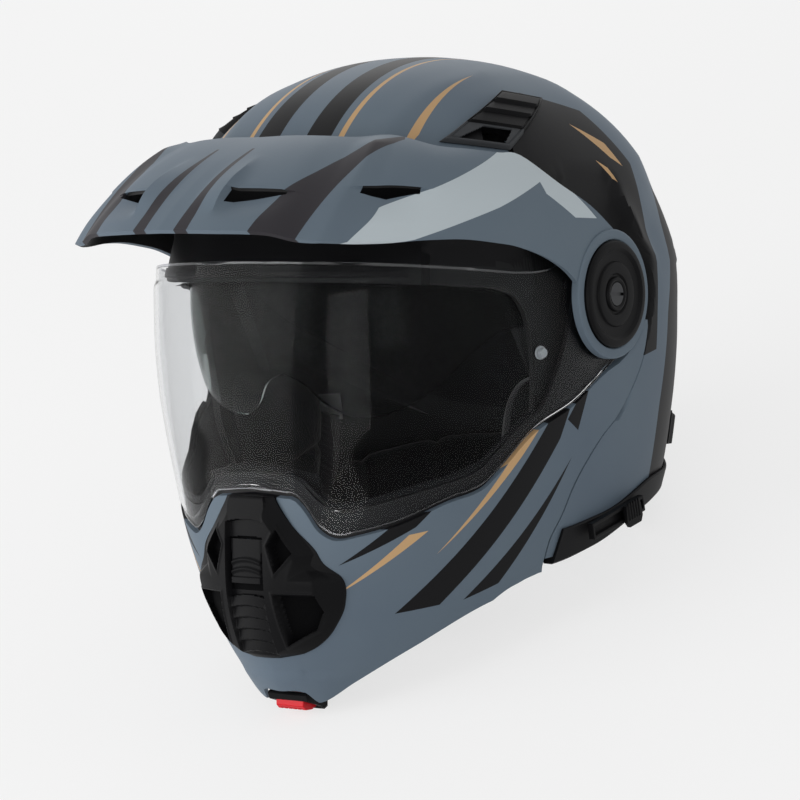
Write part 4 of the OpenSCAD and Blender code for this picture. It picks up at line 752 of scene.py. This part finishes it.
chin_paint = matt_paint(
    "matt_polyurethane_paint_on_chin_bar",
    [
        ("front", [(0, -60), (16, -60), (16, -106), (15.5, -108), (0, -108)], PANEL_BLACK),
        ("side", [(-106, -166), (-86, -162), (-34, -76), (-26, -50), (-44, -66)], PANEL_BLACK),
        ("side", [(-122, -176), (-60, -84), (-44, -62), (-66, -84)], SAND),
        ("side", [(-74, -160), (-56, -152), (-22, -86)], PANEL_BLACK),
        ("side", [(-30, -66), (-12, -38), (-20, -72)], PANEL_BLACK),
        ("side", [(-134, -140), (-112, -108), (-100, -104), (-110, -120)], PANEL_BLACK),
        ("side", [(-132, -156), (-104, -122), (-112, -124)], SAND),
    ],
)
# The same near black, on the underside of the peak, is a painted shade.
ledge_and_peak_shade_look = {"Base_Color": linear("#0D0D0F"), "Roughness": 0.5, "Specular_IOR_Level": 0.2}
ledge_and_peak_shade_abs = surface("bare_black_ledge_and_painted_peak_shade", (1500.0, 0.2, 0.0002), **ledge_and_peak_shade_look)[0]
chin_mid, chin_between = middles(chin_i, chin_a)
air_way = (chin_mid > 7) & (chin_mid < 11) & (chin_between < 13)
hinge_window = (chin_mid > 1) & (chin_mid < 3) & (chin_between > 78) & (chin_between < 84)
chin = wall(
    "chin_bar_skin", chin_grid(0), chin_grid(-CHIN_WALL), ~(air_way | hinge_window), "chin_bar_body",
    "shell_paint", chin_paint, ledge_and_peak_shade_abs, outer=chin_mid < LEDGE + 0.5, inner=1, sharp=38,
    round_edge=0.5,
)
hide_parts("chin_bar")

# Chin vent. A shroud of black glass-filled nylon, moulded in one with its facets, fixed ribs and the
# scoops at the sides, clipped over the opening; a ribbed slider opens and shuts the upper slot.
VENT_HALF = [[-190, 9], [-187, 22], [-180, 33], [-170, 41], [-160, 46], [-147, 47.5], [-139, 40]]
VENT_HALF += [[-131, 36], [-120, 26], [-110, 18.5], [-104, 15]]
# The floors of the shallow openings are near black and dull, a painted shade that stands in for the depth
# of the openings.
vent_shade_look = {"Base_Color": linear("#050506"), "Roughness": 0.8, "Specular_IOR_Level": 0.05}
vent_painted_shade = surface("painted_shade_inside_vent", (900.0, 0.2, 0.0003), **vent_shade_look)[0]


def face_at(x, z, out):
    """Point on the face of the helmet at a distance from its middle line."""
    x, z, out = np.broadcast_arrays(x, z, out)
    w, f = curve(FORM, z) + out, curve(FORM, z, FACE) + out
    n = curve(FORM, z, 5)
    y = WIDEST - (f + WIDEST) * (1 - np.minimum(np.abs(x) / w, 1) ** n) ** (1 / n)
    return np.stack([x + 0 * y, y, z + 0 * y], -1)


def within(x, z, corners):
    """Distance in millimetres from inside a convex outline to its edge; below 0 outside."""
    return np.minimum.reduce([nx * x + nz * z + c for nx, nz, c in sides_of(corners)])


DIAMOND = [(19.5, -121), (28.4, -133.6), (19, -144.5), (14.6, -130)]
STAR = [(29, -135), (38.5, -134), (45.5, -147.5), (24.5, -148)]
SCOOP = [(17, -155), (37.5, -155), (39, -164), (33.5, -174), (19, -183)]
vent_z = np.linspace(-104.6, -190, 173)[:, None]
vent_f = mirrored(np.linspace(0, 1, 81))[None, :]
vent_w = curve(VENT_HALF, vent_z)
CHANNEL_SHARE = 0.26
channel = np.minimum(12.4, 0.72 * vent_w)
spread = np.abs(vent_f)
wide_f = (spread - CHANNEL_SHARE) / (1 - CHANNEL_SHARE)
vent_x = np.where(
    spread <= CHANNEL_SHARE, channel * spread / CHANNEL_SHARE, channel + (vent_w - channel) * wide_f
)
bow = vent_z + 0.012 * vent_x**2
side_facets = np.minimum(6.2, 0.9 + 0.5 * (vent_w - vent_x))
side_facets = side_facets - 0.12 * np.maximum(0, vent_x - 20) * ease((vent_z + 150) / 10)
side_facets = side_facets - np.clip(0.5 * within(vent_x, vent_z, STAR), 0, 2.6)
for opening in (DIAMOND, SCOOP):
    deep = within(vent_x, vent_z, opening)
    side_facets = side_facets + 0.5 * ease((deep + 1.6) / 1.2) * (1 - ease(deep / 0.6))
    side_facets = np.where(deep > 0, side_facets + (0.5 - side_facets) * ease(deep / 1.5), side_facets)
rib_share = np.mod(-(bow + 156) / 6.1, 1)
lower_ribs = 2.9 + 2.2 * rib_share * (1 - ease((rib_share - 0.88) / 0.12))
upper_step = np.where(bow > -116.6, 4.6 - 0.1 * (vent_z + 104), 3.0 + 0.06 * (vent_z + 116))
middle = np.where(bow < -156, lower_ribs, np.where(bow > -125.5, upper_step, 1.4))
wall_share = ease((vent_x - channel + 1.5) / 1.5)
height = middle + (np.maximum(side_facets, middle) - middle) * wall_share
height = np.where(vent_x > channel, side_facets, height)
height = height * ease((vent_z + 191.5) / 4) * (0.5 + 0.5 * ease((-103 - vent_z) / 3))
vent_place = np.sign(vent_f) * vent_x
vent_mid_z = (vent_z[1:] + vent_z[:-1]) / 2 + 0 * vent_f[:, 1:]
vent_mid_x = np.abs(vent_place[1:, 1:] + vent_place[:-1, :-1]) / 2
# Floors of the openings and of the middle channel, which take the painted shade.
vent_floor_painted_shade = within(vent_mid_x, vent_mid_z, DIAMOND) > 1.3
vent_floor_painted_shade = vent_floor_painted_shade | (within(vent_mid_x, vent_mid_z, SCOOP) > 1.3)
vent_floor_painted_shade = vent_floor_painted_shade | ((vent_mid_x < 11.5) & (vent_mid_z < -126) & (vent_mid_z > -154))
vent_slot = (vent_mid_x < 9) & (vent_mid_z < -127) & (vent_mid_z > -134)
shroud = wall(
    "chin_vent_shroud", *(face_at(vent_place, vent_z, out) for out in (0.6 + height, 0.5)), ~vent_slot,
    "chin_bar_body", "black_plastic", grained_nylon, vent_painted_shade, outer=vent_floor_painted_shade, sharp=36,
)
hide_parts("chin_vent_housing")
slide_z = np.linspace(-127, -150, 70)[:, None]
slide_x = mirrored(np.linspace(0, 10.4, 21))[None, :]
slide_bow = slide_z + 0.022 * slide_x**2
slide_rise = 4.1 + 1.1 * hump(slide_bow, -137.6, 1.0) + 1.1 * hump(slide_bow, -142.4, 1.0)
slide_rise = slide_rise + 0.9 * ease((-146.4 - slide_z) / 0.8) - 1.2 * ease((np.abs(slide_x) - 9.2) / 1.2)
slide_under = 2.6 + 0.7 * ease(slide_z + 134.5) + 0 * slide_x
slide_rise = np.maximum(slide_rise, slide_under + 0.4)
slider = wall(
    "chin_vent_ribbed_slider", *(face_at(slide_x, slide_z, out) for out in (slide_rise, slide_under)),
    True, "vent_slider_body", "black_plastic", grained_nylon, sharp=40,
)
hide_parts("chin_vent_slider")

# Crown vents. A black nylon cover with three stepped louvres and a grey, lightly blasted lip round the
# intake; the shutter slides beneath it. It is clipped into a recess of the shell.
blasted_look = {"Base_Color": linear("#3A3C3F"), "Roughness": 0.55, "Specular_IOR_Level": 0.2}
blasted_nylon = surface("blasted_grey_nylon", (1400.0, 0.3, 0.0003), **blasted_look)[0]
CROWN = np.array([[43, 50.6], [64, 47.5], [68, 75.4], [84, 72]])
crown_p = np.linspace(0, 1, 61)[None, :]
crown_q = np.linspace(0, 1, 101)[:, None]
crown_border = np.minimum(np.minimum(crown_p, 1 - crown_p) * 30, np.minimum(crown_q, 1 - crown_q) * 34)
crown_stops = [0, 0.06, 0.27, 0.3, 0.32, 0.5, 0.525, 0.545, 0.7, 0.725, 0.745, 0.93, 1]
crown_steps = [2.4, 2.6, 3.9, 3.9, 5.4, 4.3, 4.1, 6.0, 4.9, 4.7, 6.4, 5.4, 3.6]
crown_frame = np.interp(crown_q, [0, 0.3, 0.93, 1], [2.4, 4.4, 5.6, 4.2]) + 0 * crown_p
crown_rise = np.interp(crown_q, crown_stops, crown_steps) - crown_frame
crown_rise = crown_frame + crown_rise * ease((crown_border - 2.0) / 0.7)
crown_rise = crown_rise - 0.6 * hump(crown_border, 2.3, 0.4)
crown_rise = 0.8 + (crown_rise - 0.8) * ease((crown_border + 0.4) / 1.8)
crown_under = np.where(crown_border > 1.9, np.clip(crown_rise - 0.8, 0.4, 3.0), 0.4)
crown_mid, crown_across = middles(crown_q, crown_p)
mouth = within(crown_across, crown_mid, [(0.2, 0.07), (0.86, 0.07), (0.8, 0.27), (0.35, 0.27)]) > 0


def crown_at(p, q, out):
    """Point of a crown vent, shared out between its four corners on the shell."""
    near = CROWN[0] + (CROWN[1] - CROWN[0]) * p[..., None]
    far = CROWN[2] + (CROWN[3] - CROWN[2]) * p[..., None]
    place = near + (far - near) * q[..., None]
    return shell_at(place[..., 1], place[..., 0], out)


for side_name, side_sign in SIDES:
    grids = [crown_at(*np.broadcast_arrays(crown_p, crown_q), out) for out in (crown_rise, crown_under)]
    for grid in grids:
        grid[..., 0] *= side_sign
    cover = wall(
        f"crown_vent_cover_{side_name}", *grids, ~mouth, "shell_body", "black_plastic", grained_nylon,
        blasted_nylon, outer=crown_mid < 0.3, sharp=32,
    )
    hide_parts(f"crown_vent_{side_name}")

# Chin curtain. A piece of doubled nylon cloth, 0.2 m wide and 32 mm deep, tucked along the lower edge
# of the chin bar and stretched back under the chin to keep out the wind.
curtain_nylon = knitted("woven_nylon_curtain", "#1C1D20", "#101012", 1.6, 0.4)
CURTAIN_END = 52
curtain_t = np.linspace(0, 1, 15)[:, None]
curtain_a = mirrored(np.linspace(0, CURTAIN_END, 40))[None, :]
curtain_sag = 2.2 * np.sin(np.pi * curtain_t) * (1 - (curtain_a / CURTAIN_END) ** 2)


def curtain_grid(thick):
    """Points of the curtain from the chin bar's lower edge inwards."""
    z = curve(CHIN_LOW, np.abs(curtain_a)) + 5.2 + 2.4 * curtain_t + thick + 0.4 * curtain_sag
    reach = 34 * curtain_t * (1 - 0.4 * np.abs(curtain_a) / CURTAIN_END)
    return hull_at(z, curtain_a + 0 * curtain_t, FACE, -3.6 - reach)


curtain = wall(
    "chin_curtain_cloth", curtain_grid(0), curtain_grid(1.2), True, "chin_bar_body", "mesh_fabric",
    curtain_nylon, sharp=60,
)
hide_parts("chin_curtain")

# Shield. Clear polycarbonate 2.4 mm thick, moulded in one curved piece, hard coated and polished; a
# stepped rim stiffens it and a tab at the middle of the lower edge lifts it.
def see_through(name, code, index, roughness, wave, strength, depth):
    """A clear plastic; lamps reach what is behind it and are only tinted by it."""
    look = {"Base_Color": linear(code), "Roughness": roughness, "IOR": index, "Transmission_Weight": 1.0}
    made, tree, shader = surface(name, (wave, strength, depth), **look)[:3]
    path = node(tree, "LightPath")
    pale = node(tree, "BsdfTransparent", {"Color": linear(code)})
    mix = node(tree, "MixShader", {0: path.outputs["Is Shadow Ray"], 1: shader, 2: pale})
    output = next(n for n in tree.nodes if n.type == "OUTPUT_MATERIAL")
    tree.links.new(mix.outputs[0], output.inputs["Surface"])
    return made


def turned(name, profile, side, body, slot, finish, turns=96, **look):
    """A ring turned about the side pivots, from (distance out, radius) pairs."""
    angle = np.linspace(0, 2 * math.pi, turns + 1)[:-1][:, None]
    x, r = np.array(profile, float).T
    points = np.stack([side * (x[None, :] + 0 * angle), r * np.cos(angle), r * np.sin(angle)], -1)
    n = len(profile)
    faces = []
    for i in range(turns):
        here, after = i * n, (i + 1) % turns * n
        for j in range(n):
            k = (j + 1) % n
            faces.append((here + j, here + k, after + k, after + j)[::side])
    return piece(name, standing(points.reshape(-1, 3)), faces, body, slot, finish, **look)


clear_polycarbonate = see_through("hard_coated_polycarbonate", "#EDEEEF", 1.11, 0.02, 30.0, 0.02, 0.0002)
# The ground and polished edge is thick enough to bend what is behind it into bright and dark lines.
clear_edge = see_through("polished_polycarbonate_edge", "#C4C6CC", 1.5, 0.05, 60.0, 0.1, 0.0004)
SHIELD_TOP = [[0, 17], [30, 16], [50, 14], [70, 12], [80, 20], [88, 27.5], [91.5, 25], [94, 18.5]]
SHIELD_TOP += [[96.1, 10]]
SHIELD_STOPS = [0, 6, 12.6, 16, 20, 25, 31, 38, 45, 52, 58, 63, 66.9, 70.4, 73.5, 76.7, 80.6, 84.2, 91.5]
SHIELD_STOPS += [94, 96.1]
near_edge = np.concatenate([[0, 0.006], np.linspace(0.015, 0.16, 25)])
shield_t = np.concatenate([near_edge, np.linspace(0.18, 0.82, 29), 1 - near_edge[::-1]])[:, None]
shield_a = mirrored(finer(SHIELD_STOPS, 4))[None, :]


def shield_grid(out, rim, tab):
    """Points of the shield from its upper to its lower edge, with its rim and tab."""
    a = np.abs(shield_a)
    top, low = run_of(curve(SHIELD_TOP, a)), curve(SHIELD_LOW, a)
    v = top + (low - top) * shield_t
    edge = np.minimum((1 - shield_t) * (top - low), shield_t * (top - low))
    step = rim * (1 - ease((edge - 4.5) / 1.5)) * (1 - ease((a - 76) / 6))
    lift = np.where((shield_t > 0.975) & (a < 3.2), tab, 0)
    q = hull_at(v, shield_a + 0 * v, FACE, out - step + lift)
    return capped(q, SHIELD_SIDE + out)


shield_mid, shield_between = middles(shield_t, shield_a)
hub_hole = (shield_mid > 0.1175) & (shield_mid < 0.47) & (shield_between > 84.2) & (shield_between < 91.5)
rim_rows = np.abs(shield_mid - 0.5) > 0.494
shield = wall(
    "shield_skin", shield_grid(0, 1.0, 3), shield_grid(-SHIELD_WALL, 0, 0), ~hub_hole, "shield_body",
    "clear_shield", clear_polycarbonate, clear_edge, outer=rim_rows, inner=rim_rows, sharp=30,
)
disc = [(121, 9.08), (123.8, 9.08), (123.8, 25.6), (123.4, 26), (121, 26)]
for side_name, side_sign in SIDES:
    turned(f"shield_disc_{side_name}", disc, side_sign, "shield_body", "clear_shield", clear_polycarbonate)
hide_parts("shield")
clear_nylon = surface("clear_moulded_nylon", Base_Color=linear("#8F9497"), Roughness=0.3)[0]
dress(clear_nylon, "anti_fog_pins")

# Peak. Moulded ABS 2.6 mm thick, painted with the shell, with two fins and four air slots; it ends in a
# ring on each side, held on the pivots under a black cover with a slotted screw.
CHARCOAL, PALE_GREY = "#312F33", "#C2CCD1"
PEAK_REAR = [[0, 0, -141, 81.4], [1, 21, -140, 81.8], [2, 40.5, -136.8, 81.2], [3, 55.5, -130.6, 80.4]]
PEAK_REAR += [[4, 70, -118, 81.5], [5, 88.7, -106.5, 76], [6, 99, -91.7, 74.5], [7, 107, -77.4, 73]]
PEAK_REAR += [[8, 111.2, -63.6, 72], [9, 120.5, -40, 57.5], [10, 125.4, -18, 46.5], [11, 127.4, 2, 34]]
PEAK_FRONT = [[0, 0, -222, 32], [1, 30, -219, 31.5], [1.9, 57.5, -208.5, 30.4], [2.4, 70, -200, 27]]
PEAK_FRONT += [[3, 84, -189, 25.8], [4, 100, -165, 25.6]]
PEAK_FRONT += [[5, 110, -140, 27], [6, 115, -119, 27.5], [7, 119, -97, 26], [8, 122, -80, 24]]
PEAK_FRONT += [[9, 125, -60, 19], [10, 127, -44, 12.5], [11, 127.6, -31, 4]]
PEAK_BULGE = [[0, 7], [3, 7], [4, 9], [6, 9], [8, 6], [10, 1], [11, 0]]
PEAK_STOPS = [0, 0.28, 0.46, 0.62, 0.95, 1.6, 2.3, 2.8, 3.2, 3.6, 4.1, 4.6, 5.3, 6, 7, 8, 9, 10, 11]
PEAK_WALL = 2.6
peak_s = mirrored(finer(PEAK_STOPS, 5))[None, :]
peak_t = np.linspace(0, 1, 101)[:, None]


def tent(x, middle, half):
    """A ridge 1 high over the middle that falls straight to 0 on both sides."""
    return np.maximum(0, 1 - np.abs(x - middle) / half)


def stretched(t, low, middle, high, moved):
    """Rows slide so that the row at middle comes to lie at moved; low and high stay."""
    over = low + (t - low) * (moved - low) / (middle - low)
    under = moved + (t - middle) * (high - moved) / (high - middle)
    return np.where((t > low) & (t < high), np.where(t < middle, over, under), t)


def peak_grid():
    """The top face: stations from the middle to the ring, rows from the rear edge to the lip."""
    k, row = np.abs(peak_s) + 0 * peak_t, peak_t + 0 * peak_s
    front_end = np.interp(k, [0.6, 0.95, 2.05, 2.5], [0.7, 0.735, 0.652, 0.7])
    side_end = np.interp(k, [3.1, 3.45, 4, 4.55, 4.9], [0.62, 0.596, 0.645, 0.596, 0.62])
    t = stretched(stretched(row, 0.62, 0.7, 0.86, front_end), 0.55, 0.62, 0.8, side_end)
    near = k * (1 + 0.26 * (0.5 - t) * ease(k / 3.2))
    far = k + 0.83 * (0.5 - t) * (1 - ease((k - 3.2) / 3))
    station = np.where(k < 3.2, near, far)
    rear = np.stack([curve(PEAK_REAR, station, c) for c in (1, 2, 3)], -1)
    front = np.stack([curve(PEAK_FRONT, station, c) for c in (1, 2, 3)], -1)
    p = rear + (front - rear) * t[..., None]
    out = p - np.array([0, -70, 0])
    out /= np.linalg.norm(out, axis=-1, keepdims=True)
    crease = 2.6 * tent(k, 3.2, 0.5) * ease(t / 0.15) * (1 - 0.5 * t)
    fins = 4.2 * np.clip((k - 0.3) / 0.6, 0, 1) * (1 - ease((k - 0.9) / 0.09))
    fins = fins * ease((t - 0.26) / 0.34) * ease((0.88 - t) / 0.24)
    hollow = np.clip((k - 0.9) / 0.1, 0, 1) * ease((2.3 - k) / 1.0)
    scoops = 4.6 * hollow * np.where(row < 0.625, 0, 1) * ease((0.92 - t) / 0.26)
    scoops = scoops + 4.0 * tent(k, 4.0, 0.9) * np.where(row < 0.555, 0, 1) * ease((0.86 - t) / 0.28)
    bulge = 4 * t * (1 - t) * curve(PEAK_BULGE, station)
    q = p + out * (bulge + crease + fins - scoops)[..., None]
    q[..., 0] *= np.sign(peak_s)
    return q


def moved_along_normal(grid, distance):
    """The grid moved square to its own surface."""
    along, across = np.gradient(grid, axis=0), np.gradient(grid, axis=1)
    normal = np.cross(along, across)
    normal /= np.maximum(np.linalg.norm(normal, axis=-1, keepdims=True), 1e-9)
    return grid + distance * normal


peak_paint = matt_paint(
    "matt_polyurethane_paint_on_peak",
    [
        ("side", [(-190, 20), (-160, 43), (-62, 79), (-48, 62), (-96, 44), (-150, 27)], PALE_GREY),
        ("side", [(-66, 79), (-40, 60), (-14, 40), (-34, 40), (-56, 52)], PALE_GREY),
        ("top", [(74.5, -114), (77, -118), (68, -225), (48, -225), (52, -190)], CHARCOAL),
        ("top", [(9, -240), (19, -240), (12.5, -160), (11, -160)], CHARCOAL),
    ],
)
peak_mid, peak_between = middles(peak_t, peak_s)
front_slot = (np.abs(peak_mid - 0.66) < 0.04) & (np.abs(peak_between - 1.5) < 0.55)
side_slot = (np.abs(peak_mid - 0.585) < 0.035) & (np.abs(peak_between - 4.0) < 0.55)
peak_top = peak_grid()
peak_low = moved_along_normal(peak_top, -PEAK_WALL)
# Its underside takes the black of the chin bar's ledge, a painted shade under the peak.
peak = wall(
    "peak_skin", peak_top, peak_low, ~(front_slot | side_slot), "peak_body", "shell_paint", peak_paint,
    ledge_and_peak_shade_abs, sharp=30, inner=1, round_edge=0.6,
)
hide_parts("peak")
ring_profile = [(124.2, 9.08), (126.4, 9.08), (126.4, 29.0), (128.2, 29.0), (128.6, 29.5), (128.6, 33.6)]
ring_profile += [(128.0, 34.4), (127.2, 34.6), (124.2, 34.6)]
cover_profile = [(126.8, 3.2), (126.8, 28.6), (129.3, 28.6), (130.6, 27.8), (131, 26.8), (131, 24.6)]
cover_profile += [(129.5, 22.8), (129.3, 17.6), (130.2, 17.0), (130.4, 16.2), (130.2, 11.2), (129.2, 10.4)]
cover_profile += [(129.2, 9.4), (130.6, 8.8), (130.8, 8.0), (130.6, 6.9), (130.2, 6.5), (127.8, 6.4)]
cover_profile += [(127.8, 3.2)]
for side_name, side_sign in SIDES:
    turned(f"peak_ring_{side_name}", ring_profile, side_sign, "peak_body", "shell_paint", peak_paint)
    cover = turned(
        f"round_cover_{side_name}", cover_profile, side_sign, "shell_body", "black_plastic", grained_nylon,
        sharp=24,
    )
    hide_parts(f"pivot_cover_{side_name}")

# Sun visor. Smoke-tinted polycarbonate 2 mm thick, blown to one curved surface that turns about pins
# inside the shell; the tint is even and its lower edge is cut out over the nose.
SUN = [[0, 0, 129, -19, 8], [1, 12, 128.6, -21.5, 8], [2, 22, 127.3, -27, 8], [3, 34, 124.4, -31, 8]]
SUN += [[4, 46, 121, -32, 8], [5, 58, 117, -31.5, 8], [6, 69, 111, -30, 8], [7, 79, 103, -27.5, 8]]
SUN += [[8, 87, 92.4, -24, 8], [9, 94, 81.4, -20, 9], [10, 99.6, 69, -17, 11], [11, 104.4, 56, -18, 15]]
SUN += [[12, 106, 44, -22, 20], [13, 106.2, 32, -30, 26], [14, 106.2, 20, -40, 34], [15, 106.2, 7, -60, 40]]
VISOR_WALL = 2
smoke_polycarbonate = see_through("smoke_tinted_polycarbonate", "#8C9391", 1.1, 0.03, 30.0, 0.02, 0.0002)
sun_s = mirrored(np.linspace(0, 15, 91))[None, :]
sun_i = np.linspace(0, 1, 31)[:, None]


def sun_grid(out):
    """Points of the sun visor from its upper to its lower edge."""
    k = np.abs(sun_s)
    x, r, low, high = (curve(SUN, k, c) for c in (1, 2, 3, 4))
    heading = np.radians(high + (low - high) * sun_i)
    d = np.minimum(k, 15) / 15
    r = r + out * (1 - ease((d - 0.55) / 0.25))
    x = x + out * ease((d - 0.45) / 0.3)
    return np.stack([np.sign(sun_s) * x + 0 * heading, -r * np.cos(heading), r * np.sin(heading)], -1)


visor = wall(
    "sun_visor_lens", sun_grid(0), sun_grid(-VISOR_WALL), True, "sun_visor_body", "smoke_visor",
    smoke_polycarbonate, sharp=50,
)
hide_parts("sun_visor")
dress(natural_nylon, "sun_visor_pins")

# Chin straps. Flat woven polyester webbing 20 mm wide and 1.8 mm thick, riveted to the shell behind the
# cheek pads; the left one ends at the frame of the buckle, the right one at its toothed tongue.
webbing, tree, shader, place = surface("woven_polyester_webbing", Roughness=0.9, Sheen_Weight=0.1)
weave = node(
    tree, "TexWave", {"Vector": place, "Scale": 130.0, "Distortion": 1.5, "Detail": 1.0}, wave_type="BANDS",
    bands_direction="DIAGONAL",
)
node(tree, "ValToRGB", {0: weave}, shader.inputs["Base Color"], ((0, "#0E0E10"), (1, "#1D1D20")))
node(tree, "Bump", {"Height": weave, "Strength": 0.5, "Distance": 0.0005}, shader.inputs["Normal"])
BUCKLE = np.array([14, -51, -151.0])
BUCKLE_ROLL, BUCKLE_TILT = math.radians(6), math.radians(18)


def in_buckle(x, y, z):
    """A point of the buckle's own frame, which is turned a little out of the level."""
    c, d = BUCKLE_ROLL, BUCKLE_TILT
    x, z = x * math.cos(c) + z * math.sin(c), z * math.cos(c) - x * math.sin(c)
    return BUCKLE + [x, y * math.cos(d) - z * math.sin(d), y * math.sin(d) + z * math.cos(d)]


WEB_SECTION = [(1, -0.7), (0.96, -0.9), (0, -0.9), (-0.96, -0.9), (-1, -0.7), (-1, 0.7), (-0.96, 0.9)]
WEB_SECTION += [(0, 0.9), (0.96, 0.9), (1, 0.7)]
STRAP_RUN = [(-70, 106, -10, (0, 1, 0)), (-88, 105, -10, (0, 1, 0.02)), (-106, 102, -11.5, (0, 0.99, 0.1))]
STRAP_RUN += [(-122, 97, -18, (0, 0.95, 0.3))]
for side_name, side_sign, ends in (
    ("left", 1, ((26, 0, -5.6), (8, 0, -5.8))),
    ("right", -1, ((-62, 0, -3.6), (-34, 0, -3))),
):
    mids = [hull_at(v, a, BROW, out) for v, a, out, _ in STRAP_RUN] + [(82, 0, -136), (66, -25, -146.5)]
    wides = [w for *_, w in STRAP_RUN] + [(0, 0.9, 0.45), (0.2, 0.92, 0.4)]
    for end in ends:
        x, y, z = in_buckle(*end)
        mids.append((side_sign * x, y, z))
        wides.append((0, math.cos(BUCKLE_TILT), math.sin(BUCKLE_TILT)))
    mids, wides = np.array(mids, float), np.array(wides, float)
    steps = np.concatenate([[0], np.cumsum(np.linalg.norm(np.diff(mids, axis=0), axis=1))])
    fine = np.linspace(0, steps[-1], 90)
    line, wide = (
        np.stack([np.interp(fine, steps, held[:, c]) for c in range(3)], -1) for held in (mids, wides)
    )
    along = np.gradient(line, axis=0)
    along /= np.linalg.norm(along, axis=1, keepdims=True)
    wide -= along * (wide * along).sum(1, keepdims=True)
    wide /= np.linalg.norm(wide, axis=1, keepdims=True)
    proud = np.cross(along, wide)
    half = np.interp(fine, [0, steps[5], steps[6], steps[-1]], [10, 10, 9, 9])[:, None]
    band = np.stack([line + across * half * wide + up * proud for across, up in WEB_SECTION], 1)
    band[..., 0] *= side_sign
    strap = bar(f"strap_webbing_{side_name}", band, "shell_body", "strap_web", webbing, sharp=50)
    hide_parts(f"chin_strap_{side_name}")
